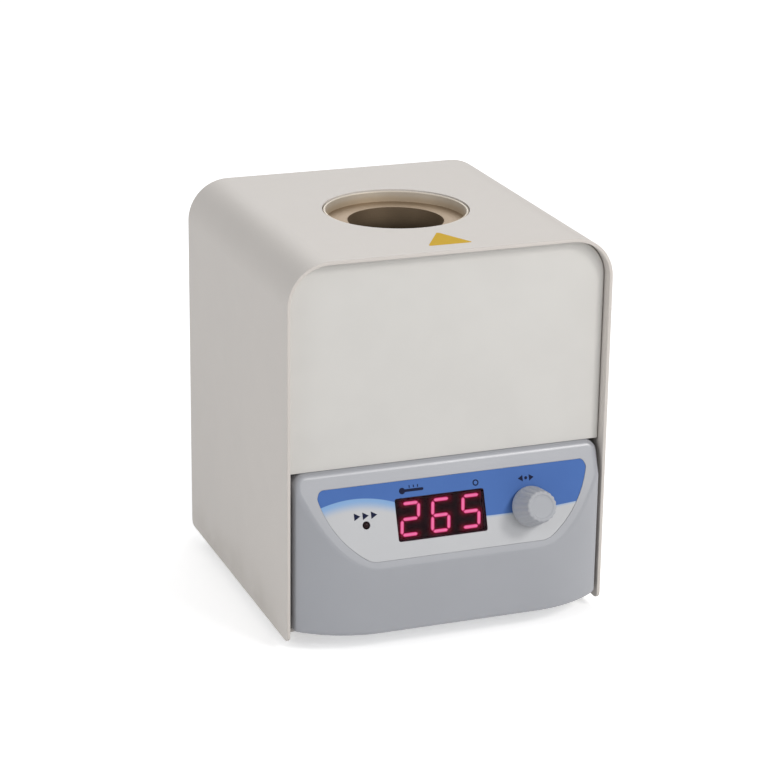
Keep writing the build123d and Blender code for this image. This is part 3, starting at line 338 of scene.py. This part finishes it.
# Printed film: polycarbonate printed on its back in pale grey, with a blue band
# that fades to light blue on the left, stuck into the recess of the fascia.
tilt = radians(20.0)
face_origin = np.array((0.0, -57.00435, 68.0)) * MM
face_up = np.array((0.0, sin(tilt), cos(tilt)))

film_print = Finish("printed_film", {"Roughness": 0.55, "Specular IOR Level": 0.12})
at = film_print.place()
x, y, z = film_print.axes(at)
u_mm = x * 1000
v_mm = (y * face_up[1] + z * face_up[2] - float(face_origin @ face_up)) * 1000

# The band's lower edge, in mm on the face, falls along a parabola from its
# left end, and goes over smoothly between the two joints into a flatter
# parabola about its lowest point on the right. The light blue under the edge
# fades out over a strip that is wide on the left and narrow on the right.
left_end, left_slope, left_bend, left_level = -45, 0.0643, -0.01052, -5.05
lowest, right_bend, right_level = 22, 0.00135, -18.35
first_joint, last_joint = -16.0, 2.0
left_strip, right_strip, right_strength = (-5.5, -0.4), (-1.1, 0.0), 0.5
edge_softness = 0.12
from_left, from_right = u_mm - left_end, u_mm - lowest
left_edge = from_left * left_slope + from_left * from_left * left_bend + left_level
right_edge = from_right * from_right * right_bend + right_level
on_right = film_print.band(u_mm, first_joint, last_joint)
above = v_mm - (left_edge * (1 - on_right) + right_edge * on_right)
left_fade = film_print.band(above, *left_strip) * (1 - on_right)
right_fade = film_print.band(above, *right_strip) * on_right * right_strength
fade = left_fade + right_fade
mottle = film_print.noise(at, size=0.018)
ground = film_print.blend(mottle, paint("c2c3c6"), paint("c8c9cb"))
ground = film_print.blend(fade, ground, paint("86abd6"))
blue = film_print.blend(mottle, paint("476aab"), paint("4f74b5"))
in_band = film_print.band(above, -edge_softness, edge_softness)
film_print.feed("Base Color", film_print.blend(in_band, ground, blue))
film_print.relief(film_print.noise(at, size=0.0004), depth=0.000006)
wear(film_print, "front_overlay")


# Marks on the film: flat shapes screen-printed in dark ink. A thermometer and
# a ring for degrees stand over the display, three triangles for running by the
# lamp, and two arrows with a dot for turning over the knob.
face_out = np.array((0.0, -cos(tilt), sin(tilt)))
film_top = -0.1
ink_low, ink_high = film_top - 0.01, film_top + 0.03


def on_face(u, v, out):
    """Points of the inclined face in metres: its origin plus u to the right, v up the face and
    out along its outward normal, all three in mm."""
    u, v, out = np.broadcast_arrays(*(np.asarray(a, float) for a in (u, v, out)))
    along = u[..., None] * np.array((1.0, 0, 0))
    return face_origin + (along + v[..., None] * face_up + out[..., None] * face_out) * MM


def raised(name, outlines, low, high, lift=on_face):
    """Flat shapes with upright sides: each outline of (u, v) points, turned anticlockwise,
    becomes one closed prism from low to high."""
    points, faces, count = [], [], 0
    for outline in outlines:
        outline = np.asarray(outline, float)
        n = len(outline)
        a, b = outline, np.roll(outline, -1, 0)
        if np.sum(a[:, 0] * b[:, 1] - a[:, 1] * b[:, 0]) < 0:
            outline = outline[::-1]
        points += [lift(outline[:, 0], outline[:, 1], level) for level in (low, high)]
        i = np.arange(n)
        j = (i + 1) % n
        faces += (np.stack((i, j, j + n, i + n), -1) + count).tolist()
        faces += [(i + n + count).tolist(), (i[::-1] + count).tolist()]
        count += 2 * n
    return piece(name, np.concatenate(points), faces, smooth=False)


def arc(centre, radius, start, end, steps=20):
    """Points along an arc: centre plus the radius times the cosine and sine of even steps of
    angle, from start to end in degrees."""
    angle = np.radians(np.linspace(start, end, steps))
    return np.stack((centre[0] + radius * np.cos(angle), centre[1] + radius * np.sin(angle)), -1)


def ring(centre, inner, outer, steps=24):
    """A flat ring as two half rings, each an arc out and an arc back about centre."""
    return [
        np.concatenate((arc(centre, outer, a, b, steps), arc(centre, inner, b, a, steps)))
        for a, b in ((0, 180), (180, 360))
    ]


def bar(left, low, right_side, top):
    """The four corners of an upright rectangle."""
    return [(left, low), (right_side, low), (right_side, top), (left, top)]


def arrow(foot, tip, level, half):
    """A triangle on an upright side at foot, with its tip at the same level."""
    return [(foot, level - half), (tip, level), (foot, level + half)]


def two_tone(finish, size, low, high):
    """Base colour that wanders between two tones in lumps about size metres across."""
    lumps = finish.noise(finish.place(), size)
    finish.feed("Base Color", finish.blend(lumps, paint(low), paint(high)))


ink = Finish("mark_ink", {"Roughness": 0.6, "Specular IOR Level": 0.1})
two_tone(ink, 0.0003, "10142a", "1b2140")
bulb_u, bulb_v = -21.0, -4.1
bulb_radius, bulb_mouth = 1.3, 26
stem_half, stem_length = 0.57, 8.6
tick_width, tick_low, tick_high = 0.42, 0.95, 2.0
thermometer = np.concatenate(
    (
        arc((bulb_u, bulb_v), bulb_radius, bulb_mouth, 360 - bulb_mouth, 28),
        arc((bulb_u + stem_length, bulb_v), stem_half, -90, 90, 10),
    )
)
ticks = [
    bar(bulb_u + u, bulb_v + tick_low, bulb_u + u + tick_width, bulb_v + tick_high)
    for u in (3.0, 4.8, 6.6)
]
degree_at = (10.7, -4.4)
dial_u, dial_v = 32.7, -5.0
dial_foot, dial_tip, dial_half, dial_dot = 1.4, 3.5, 1.3, 0.65
run_u, run_v = -37.4, -12.1
run_pitch, run_reach, run_half = 3.6, 1.3, 1.5
marks = {
    "temperature_mark": [thermometer] + ticks,
    "degree_mark": ring(degree_at, inner=0.8, outer=1.3),
    "turning_mark": [
        arrow(dial_u + side * dial_foot, dial_u + side * dial_tip, dial_v, dial_half)
        for side in (-1, 1)
    ] + [arc((dial_u, dial_v), dial_dot, 0, 345, 24)],
    "run_mark": [
        arrow(run_u + shift - run_reach, run_u + shift + run_reach, run_v, run_half)
        for shift in (-run_pitch, 0.0, run_pitch)
    ],
}
for name, outlines in marks.items():
    mark = raised(name, outlines, ink_low, ink_high)
    wear(ink, name)
    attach(mark, "housing")


# Display: three seven-bar numerals lit pinkish red in a black case, with a
# painted glow of their light on the case about them, behind a dark red filter
# flush with the film. The module is potted and soldered to the board behind the
# fascia.
window_at = (-5.35, -15.6)
window_size = (38.3, 17.2)
digit_pitch, digit_shift = 13.1, 0.3
digit_half = (3.5, 6.25)
bar_half, bar_gap = 0.72, 0.25
bar_lean = tan(radians(7.0))
case_front = -2.1
bar_back, bar_front, bar_crest = case_front + 0.01, case_front + 0.05, case_front + 0.06
crest_inset = 1.15
lit_bars_of = {"2": "abged", "6": "afgecd", "5": "afgcd"}
bar_at = {
    "a": (0, 2, 0), "g": (0, 0, 0), "d": (0, -2, 0),
    "f": (-1, 1, 1), "b": (1, 1, 1), "e": (-1, -1, 1), "c": (1, -1, 1),
}


def bar_ends(place, letter):
    """The two tips of one lit bar on the face, in mm: the digit's upright form, leaned."""
    side, level, upright = bar_at[letter]
    x0, y0 = side * digit_half[0], level * digit_half[1] / 2
    reach = (digit_half[1] / 2 if upright else digit_half[0]) - bar_gap
    ends = [(x0, y0 - reach), (x0, y0 + reach)] if upright else [(x0 - reach, y0), (x0 + reach, y0)]
    u0 = window_at[0] + digit_shift + (place - 1) * digit_pitch
    return np.array([(u0 + p + bar_lean * q, window_at[1] + q) for p, q in ends])


lit = [
    bar_ends(place, letter)
    for place, digit in enumerate("265")
    for letter in lit_bars_of[digit]
]
crown = [(0, 1, 6), (1, 2, 7, 6), (2, 3, 7), (3, 4, 7), (4, 5, 6, 7), (5, 0, 6)]
walls = [(8 + i, 8 + (i + 1) % 6, (i + 1) % 6, i) for i in range(6)]
floor = [(13, 12, 11, 10, 9, 8)]
bar_height = np.array([bar_front] * 6 + [bar_crest] * 2 + [bar_back] * 6)
bar_points, bar_faces = [], []
for start, end in lit:
    along = (end - start) / np.linalg.norm(end - start) * bar_half
    across = np.array((-along[1], along[0]))
    rim = [
        start, start + along - across, end - along - across,
        end, end - along + across, start + along + across,
    ]
    crest = [start + along * crest_inset, end - along * crest_inset]
    flat = np.array(rim + crest + rim)
    first = len(bar_height) * len(bar_points)
    bar_points.append(on_face(flat[:, 0], flat[:, 1], bar_height))
    bar_faces += [[first + i for i in face] for face in crown + walls + floor]
lit_bars = piece("lit_bars", np.concatenate(bar_points), bar_faces, smooth=False)
core = lit_bars.data.attributes.new("core", "FLOAT", "POINT")
bar_core = np.array([0.0] * 6 + [1.0] * 2 + [0.0] * 6, np.float32)
core.data.foreach_set("value", np.tile(bar_core, len(lit)))
diffuser = Finish(
    "lit_diffuser", {"Base Color": paint("40101c"), "Roughness": 0.5, "Emission Strength": 1.0}
)
across_bar = diffuser.node("ShaderNodeAttribute", {"attribute_name": "core"}, {}, "Fac")
grain = diffuser.noise(diffuser.place(), size=0.0006)
bright = diffuser.band(across_bar, 0.0, 0.75) * (0.8 + grain * 0.4)
rim_light, core_light = (0.95, 0.085, 0.36, 1), (1.15, 0.62, 0.88, 1)
diffuser.feed("Emission Color", diffuser.blend(bright, rim_light, core_light))
wear(diffuser, "lit_bars")
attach(lit_bars, "housing")

glow_columns, glow_rows = 78, 36
glow_margin = (1.2, 0.6)
glow_front, glow_back = case_front + 0.005, 0.003
glow_u = window_at[0] + np.linspace(-0.5, 0.5, glow_columns) * (window_size[0] - glow_margin[0])
glow_v = window_at[1] + np.linspace(-0.5, 0.5, glow_rows) * (window_size[1] - glow_margin[1])
glow_u, glow_v = (line.ravel() for line in np.meshgrid(glow_u, glow_v))
display_face = piece(
    "display_face", on_face(glow_u, glow_v, glow_front), sheet_faces(glow_rows, glow_columns)
)
backing = display_face.modifiers.new("backing", "SOLIDIFY")
backing.thickness, backing.offset = glow_back * MM, -1.0

# The painted glow, light of the bars painted on the case, falls off with the
# distance to the nearest bar: a narrow bell curve, with a small share of a wider
# slope that halves at even steps.
bell_width, slope_width, slope_share = 1.3, 2.0, 0.1
spot = np.stack((glow_u, glow_v), -1)
nearest = np.full(len(spot), 99.0)
for start, end in lit:
    run = end - start
    share = np.clip((spot - start) @ run / (run @ run), 0, 1)
    nearest = np.minimum(nearest, np.linalg.norm(spot - start - share[:, None] * run, axis=1))
bell, slope = np.exp(-((nearest / bell_width) ** 2)), np.exp(-nearest / slope_width)
painted_halo = bell * (1 - slope_share) + slope * slope_share
painted_glow = display_face.data.attributes.new("painted_glow", "FLOAT", "POINT")
painted_glow.data.foreach_set("value", painted_halo.astype(np.float32))
# The case's emission is painted light: the bars' glow painted onto the black case about them.
painted_case_glow = Finish(
    "display_case_painted_glow",
    {
        "Base Color": paint("030202"),
        "Roughness": 0.6,
        "Specular IOR Level": 0.0,
        "Emission Strength": 1.0,
    },
)
reach = painted_case_glow.node("ShaderNodeAttribute", {"attribute_name": "painted_glow"}, {}, "Fac")
painted_case_glow.feed("Emission Color", painted_case_glow.blend(reach, black, (0.16, 0.0005, 0.022, 1)))
wear(painted_case_glow, "display_face")
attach(display_face, "housing")

red_filter = Finish(
    "red_filter",
    {
        "Base Color": (0.7, 0.3, 0.45, 1),
        "IOR": 1.2,
        "Transmission Weight": 1.0,
        "Specular IOR Level": 0.05,
    },
)
ripple = red_filter.noise(red_filter.place(), size=0.004, detail=3.0)
red_filter.feed("Roughness", ripple * 0.03 + 0.015)
wear(red_filter, "display_window")
black_plastic = moulded("black_plastic", "1b1c1e", rough=0.42, grain=0.0006, depth=0.00002)
wear(black_plastic, "display_case")
potting = moulded("potting", "5a2a30", rough=0.5, grain=0.0008, depth=0.00001)
wear(potting, "display_segments")


# Run lamp: a small round lens of dark tinted plastic, unlit, that stands by its
# legs on the display board and comes through a hole of the film.
lamp_lens = Finish("lamp_lens", {"Roughness": 0.3, "Specular IOR Level": 0.12})
two_tone(lamp_lens, 0.0008, "16090b", "251013")
wear(lamp_lens, "run_lamp")


# Control knob: one off-white moulding pushed onto the shaft, its tapered grip
# fluted all round, with a rounded rim and a shallow dish in its face.
knob_at = (33.2, -16.7)
knob_foot, knob_tip = 0.9, 13.0
knob_radius, knob_face = 8.3, 6.4
bore_radius, bore_roof = 3.05, 11.1
rim_radius = 0.8
dish_edge, dish_wall, dish_fall, dish_floor = 5.05, 0.55, 0.36, 0.38
flute_count, flute_radius, flute_depth = 18, 0.9, 0.3
flute_columns = 14
flute_start, flute_run_out = 2.4, 1.1
grip_inner, grip_low = 5.6, 2.3


def knob_profile():
    """Radius and height down the knob, in mm: bore and its roof, hollow, skirt, straight taper,
    rim as a quarter arc, and dish, whose fall eases in and out."""
    bore = [(0.0, bore_roof), (bore_radius, bore_roof), (bore_radius, 3.25), (3.2, 3.2)]
    hollow = [(6.5, 3.2), (6.6, 3.1), (6.6, 1.0), (6.7, knob_foot)]
    skirt = [(8.05, knob_foot), (8.22, 0.98), (knob_radius, 1.15), (8.24, 2.0)]
    low, high = np.array((8.15, 3.1)), np.array((knob_face + 0.02, knob_tip - 0.85))
    taper = low + (high - low) * np.linspace(0, 1, 22)[:, None]
    turn = np.radians(np.linspace(8, 90, 9))[:, None]
    rim_middle = np.array((knob_face - rim_radius, knob_tip - rim_radius))
    rim_arc = rim_middle + rim_radius * np.concatenate((np.cos(turn), np.sin(turn)), 1)
    fall = np.linspace(0, 1, 7)[:, None]
    eased = 3 * fall**2 - 2 * fall**3
    dish = np.concatenate((dish_edge - dish_wall * fall, knob_tip - dish_fall * eased), 1)
    flat = [(3.0, knob_tip - dish_floor), (0.0, knob_tip - dish_floor)]
    return np.concatenate((bore + hollow + skirt, taper, rim_arc, dish, flat))


def close_poles(made):
    """Draws each ring of no width into one point."""
    rings = bmesh.new()
    rings.from_mesh(made.data)
    bmesh.ops.remove_doubles(rings, verts=rings.verts, dist=1e-8)
    rings.to_mesh(made.data)
    rings.free()


profile = knob_profile()
knob_columns = flute_count * flute_columns
angle = np.linspace(0, 2 * pi, knob_columns, endpoint=False)
radius, height = profile[:, :1], profile[:, 1:]

# The grip's radius is less by the flutes: each is a parabola across the grip,
# flute_depth deep in its middle, and runs out smoothly at the skirt.
flute_half = sqrt(2 * flute_radius * flute_depth)
off_flute = (angle * flute_count / (2 * pi)) % 1 - 0.5
offset_mm = off_flute * 2 * pi / flute_count * radius
flute = flute_depth * np.clip(1 - (offset_mm / flute_half) ** 2, 0, None)
begun = np.clip((height - flute_start) / flute_run_out, 0, 1)
grip = (radius > grip_inner) & (height > grip_low)
fluted = radius - flute * (begun * begun * (3 - 2 * begun)) * grip
knob_u = knob_at[0] + fluted * np.sin(angle)
knob_v = knob_at[1] + fluted * np.cos(angle)
knob_points = on_face(knob_u, knob_v, height + 0 * angle).reshape(-1, 3)
knob = piece("fluted_knob", knob_points, sheet_faces(len(profile), knob_columns, True)[:, ::-1])
close_poles(knob)
knob_plastic = moulded(
    "knob_plastic", "adafb4", rough=0.45, grain=0.0006, depth=0.000016, handled=0.05, shine=0.25
)
wear(knob_plastic, "fluted_knob", "control_knob")
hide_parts("control_knob")
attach(knob, "knob")


# Amber patch on the cover: a thin amber film in a plain rounded triangle,
# stuck in front of the well.
patch_corners = np.array(((-7.7, -48.4), (11.3, -48.6), (2.8, -30.9)))
patch_rounding = 0.8
patch_low, patch_high = -0.01, 0.04
cover_top = 162.0


def on_top(x_mm, y_mm, height_mm):
    """Points of the cover's top in metres, height above it in mm."""
    x_mm, y_mm, height_mm = np.broadcast_arrays(
        *(np.asarray(a, float) for a in (x_mm, y_mm, height_mm))
    )
    return np.stack((x_mm, y_mm, cover_top + height_mm), -1) * MM


def rounded(corners, radius, steps=7):
    """Corner points replaced by arcs of one radius, tangent to both sides: an arc's centre is on
    the bisector, at the radius over the sine of half the angle from the corner."""
    made = []
    for i, corner in enumerate(corners):
        before = corners[i - 1] - corner
        after = corners[(i + 1) % len(corners)] - corner
        before, after = before / np.linalg.norm(before), after / np.linalg.norm(after)
        half = np.arccos(np.clip(before @ after, -1, 1)) / 2
        centre = corner + (before + after) / np.linalg.norm(before + after) * radius / sin(half)
        first = corner + before * radius / tan(half) - centre
        last = corner + after * radius / tan(half) - centre
        a0, a1 = atan2(first[1], first[0]), atan2(last[1], last[0])
        sweep = (a1 - a0 + pi) % (2 * pi) - pi
        turn = a0 + np.linspace(0, 1, steps) * sweep
        made.append(centre + radius * np.stack((np.cos(turn), np.sin(turn)), -1))
    return np.concatenate(made)


patch_outline = rounded(patch_corners, patch_rounding)
patch = raised("amber_patch", [patch_outline], patch_low, patch_high, on_top)
patch_film = Finish("amber_film", {"Roughness": 0.6, "Specular IOR Level": 0.1})
two_tone(patch_film, 0.004, "d0a60a", "d6ae14")
wear(patch_film, "amber_patch")
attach(patch, "housing")


# Heated well: a turned steel cup whose flange hangs from the cover by a thin
# steel collar; both have a straw tint from the heat of the beads. The cup's tint
# runs on to near black down its bore, where it is painted shade.
well_axis_y = 7.89565 * MM


def turned(name, cool, deep_tint, top, bottom, rough, streak, metallic=1.0):
    """Turned steel: fine rings about the well's axis, and a tint that deepens from top
    to bottom, which are heights in metres: a heat tint, which in the well's bore is also painted
    shade."""
    finish = Finish(name, {"Metallic": metallic})
    at = finish.place()
    x, y, z = finish.axes(at)
    y = y - well_axis_y
    out = (x * x + y * y) ** 0.5
    rings = finish.node("ShaderNodeCombineXYZ", {}, {0: out, 1: z, 2: 0.0})
    lines = finish.noise(rings, size=streak, detail=3.0, roughness=0.65)
    stain = finish.noise(at, size=0.012, detail=3.0, roughness=0.6)
    heat_and_shade = finish.band(z, top, bottom) + (stain - 0.5) * 0.35
    tint = finish.blend(finish.band(heat_and_shade, 0.0, 1.0), paint(cool), paint(deep_tint))
    finish.feed("Base Color", finish.blend(lines * 0.25, tint, shade(paint(deep_tint), 0.8)))
    finish.feed("Roughness", rough + (lines - 0.5) * 0.2 + stain * 0.08)
    finish.relief(lines, depth=0.000012)
    return finish


collar_steel = turned(
    "collar_steel", "ccc4b8", "b9aa94", top=0.1615, bottom=0.157,
    rough=0.5, streak=0.0004, metallic=0.55,
)
wear(collar_steel, "collar_ring", "temperature_probe")
# The cup's tint deepens to near black 14 mm below its top: heat tint on the flange, painted shade
# down the bore.
well_steel = turned(
    "well_steel", "938069", "20180f", top=0.1565, bottom=0.142,
    rough=0.46, streak=0.0005, metallic=0.8,
)
wear(well_steel, "well_cup")


# Glass beads: two millimetre beads fill the well. The two top layers are
# single beads in loose packing, half sunk in the fill.
bead_radius, bead_room, bead_top = 1.0, 18.9, 129.1
bead_pitch, row_pitch = 2.06, 1.79
half_columns, half_rows = 11, 12
side_jitter, rise_jitter = 0.16, 0.12
bead_layers = ((0.15, 0.0, 1.0), (1.45, 1.03, 0.72))
bead_rings = np.radians((0, 45, 90, 135, 180))[:, None]
bead_turn = np.linspace(0, 2 * pi, 8, endpoint=False)
one_bead = np.stack(
    (
        np.sin(bead_rings) * np.cos(bead_turn),
        np.sin(bead_rings) * np.sin(bead_turn),
        np.repeat(np.cos(bead_rings), len(bead_turn), 1),
    ),
    -1,
).reshape(-1, 3)
one_faces = sheet_faces(len(bead_rings), len(bead_turn), True)[:, ::-1]

# A layer is a jittered lattice of triangles, raised and shifted by the first two
# figures of its row in bead_layers, in mm; the third is the share that stays.
draw = np.random.default_rng(7)
lattice_u, lattice_v = np.meshgrid(
    np.arange(-half_columns, half_columns + 1), np.arange(-half_rows, half_rows + 1)
)
lattice_u = (lattice_u + 0.5 * (lattice_v % 2)) * bead_pitch
spots = np.stack((lattice_u, lattice_v * row_pitch), -1).reshape(-1, 2)
layers = []
for rise, shift, share in bead_layers:
    at_rest = spots + shift + draw.normal(0, side_jitter, spots.shape)
    at_rest = at_rest[np.linalg.norm(at_rest, axis=1) < bead_room]
    if share < 1:
        at_rest = at_rest[draw.random(len(at_rest)) < share]
    levels = bead_top + rise + draw.normal(0, rise_jitter, len(at_rest))
    layers.append(np.column_stack((at_rest, levels)))
centres = np.concatenate(layers)
centres[:, 1] += well_axis_y / MM
bead_points = (centres[:, None] + one_bead * bead_radius).reshape(-1, 3) * MM
bead_firsts = np.arange(len(centres))[:, None, None] * len(one_bead)
beads = piece("loose_beads", bead_points, (bead_firsts + one_faces).reshape(-1, 4))
close_poles(beads)
bead_glass = Finish("bead_glass", {"IOR": 1.47, "Transmission Weight": 0.4})
two_tone(bead_glass, 0.002, "dfe3de", "f4f6f1")
scuffs = bead_glass.noise(bead_glass.place(), size=0.001)
bead_glass.feed("Roughness", scuffs * 0.06 + 0.02)
wear(bead_glass, "loose_beads")
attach(beads, "housing")

cells_per_metre = 480.0
bead_fill = Finish("bead_fill", {"Roughness": 0.35, "Specular IOR Level": 0.6})
cell_sockets = {"Vector": bead_fill.place(), "Scale": cells_per_metre}
cells = bead_fill.node("ShaderNodeTexVoronoi", {}, cell_sockets, "Distance")
# The colour darkens from each cell's middle to its edges: painted shade in the gaps between the
# beads.
bead_fill.feed("Base Color", bead_fill.blend(cells, paint("e4e5df"), paint("96958c")))
bead_fill.relief(1 - cells, depth=0.0004)
wear(bead_fill, "glass_beads")


# Feet: four moulded buttons of black rubber, each held by a screw and a nut
# through the cover's lip.
rubber = moulded("foot_rubber", "1f1f20", rough=0.66, grain=0.0005, depth=0.00003)
wear(rubber, "foot_front_left", "foot_front_right", "foot_rear_left", "foot_rear_right")


# Chassis: zinc-plated sheet steel, folded and punched, with plated screws and
# nuts.
def plated(name, code, rough, spangle):
    """Zinc plate: cloudy crystal patches, spangle metres across, over a fine rolled grain."""
    finish = Finish(name, {"Metallic": 1.0})
    at = finish.place()
    patch_sockets = {"Vector": at, "Scale": 1 / spangle}
    patches = finish.node("ShaderNodeTexVoronoi", {}, patch_sockets, "Color")
    cloud = finish.node("ShaderNodeSeparateColor", {}, {0: patches})
    rolled = finish.noise(at, size=0.0007, detail=3.0)
    metal, share = paint(code), cloud * 0.5 + rolled * 0.3
    finish.feed("Base Color", finish.blend(share, shade(metal, 0.92), shade(metal, 1.05)))
    finish.feed("Roughness", rough + cloud * 0.1 + rolled * 0.08)
    finish.relief(rolled, depth=0.000006)
    return finish


zinc_sheet = plated("zinc_sheet", "b4b8bb", rough=0.36, spangle=0.004)
wear(
    zinc_sheet,
    "base_tray", "front_bulkhead", "support_plate", "support_pillars", "heat_shield",
)
screw_zinc = plated("screw_zinc", "bfc2c4", rough=0.28, spangle=0.0015)
wear(
    screw_zinc,
    "foot_screws", "foot_nuts", "chassis_screws", "moulding_screws", "board_screws",
    "collar_nuts", "flange_screws", "pillar_screws", "clamp_screw", "power_board_screws",
    "encoder_nut", "encoder_body",
)


# Rear panel: a shallow steel pan set into the rear of the cover, with two
# columns of vent slots, powder coated as the cover is and held by screws.
wear(powder_coat("panel_paint", "d3cdc7", dusty=0.2), "rear_panel")


# Rear fittings: a fused mains inlet and a rocker switch, black mouldings
# snapped or screwed into the rear panel, with plated brass pins. The rocker has
# a line for on and a ring for off, pad printed on its two leaning halves.
wear(black_plastic, "power_inlet", "fuse_drawer", "switch_housing")
rocker_plastic = moulded("rocker_plastic", "161719", rough=0.24, grain=0.0008, depth=0.000006)
wear(rocker_plastic, "switch_rocker")
pin_plate = plated("pin_plate", "d2c39a", rough=0.22, spangle=0.002)
wear(pin_plate, "inlet_pin_left", "inlet_pin_right", "inlet_pin_earth")


def on_rocker(centre, lean):
    """Lift for one half of the rocker, centre in mm and lean in degrees: seen from behind, u is
    to the right, and v up and out are turned by the lean about the width of the switch."""
    lean = radians(lean)

    def lift(u, v, out):
        u, v, out = np.broadcast_arrays(*(np.asarray(a, float) for a in (u, v, out)))
        back, rise = out * cos(lean) - v * sin(lean), v * cos(lean) + out * sin(lean)
        return np.stack((centre[0] - u, centre[1] + back, centre[2] + rise), -1) * MM

    return lift


pad_print = Finish("pad_print", {"Roughness": 0.5, "Specular IOR Level": 0.3})
two_tone(pad_print, 0.0004, "d2d2ce", "e2e2de")
print_low, print_high = -0.02, 0.03
line_half, line_reach = 0.3, 1.6
on_line = bar(-line_half, -line_reach, line_half, line_reach)
off_ring = ring((0, 0), inner=1.15, outer=1.7)
rocker_marks = {
    "on_mark": ([on_line], on_rocker(centre=(24.0, 72.99, 38.9), lean=0.86)),
    "off_mark": (off_ring, on_rocker(centre=(24.0, 74.11, 30.69), lean=15.13)),
}
for name, (outlines, lift) in rocker_marks.items():
    mark = raised(name, outlines, print_low, print_high, lift)
    wear(pad_print, name)
    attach(mark, "rocker")


# Inner works: ceramic-fibre lagging, a band heater, green boards, a laminated
# transformer, an extruded heatsink and the encoder, all hidden by the cover.
lagging = moulded("lagging", "ece8dc", rough=0.85, grain=0.0009, depth=0.0001)
wear(lagging, "insulation_jacket", "insulation_base")
heater_sheath = turned(
    "heater_sheath", "9a958c", "6d5f50", top=0.14, bottom=0.08, rough=0.45, streak=0.0006
)
wear(heater_sheath, "heater_band")
board_mask = moulded("board_mask", "1f5c37", rough=0.3, grain=0.0012, depth=0.000008)
wear(board_mask, "display_board", "power_board")
wear(pin_plate, "board_standoffs")
iron_lacquer = moulded("iron_lacquer", "4a4f57", rough=0.45, grain=0.0007, depth=0.00002)
wear(iron_lacquer, "mains_transformer")
sink_metal = plated("sink_metal", "9ba1a7", rough=0.4, spangle=0.002)
wear(sink_metal, "triac_heatsink", "encoder_shaft")
wear(black_plastic, "encoder_plunger")
terminal_green = moulded("terminal_green", "2f6b46", rough=0.4, grain=0.0006, depth=0.00001)
wear(terminal_green, "terminal_block")
cutout_brown = moulded("cutout_brown", "3a2a20", rough=0.4, grain=0.0006, depth=0.00001)
wear(cutout_brown, "thermal_cutout")
fuse_body = moulded("fuse_body", "d9e0e0", rough=0.15, grain=0.001, depth=0.000004)
wear(fuse_body, "fuse_link")
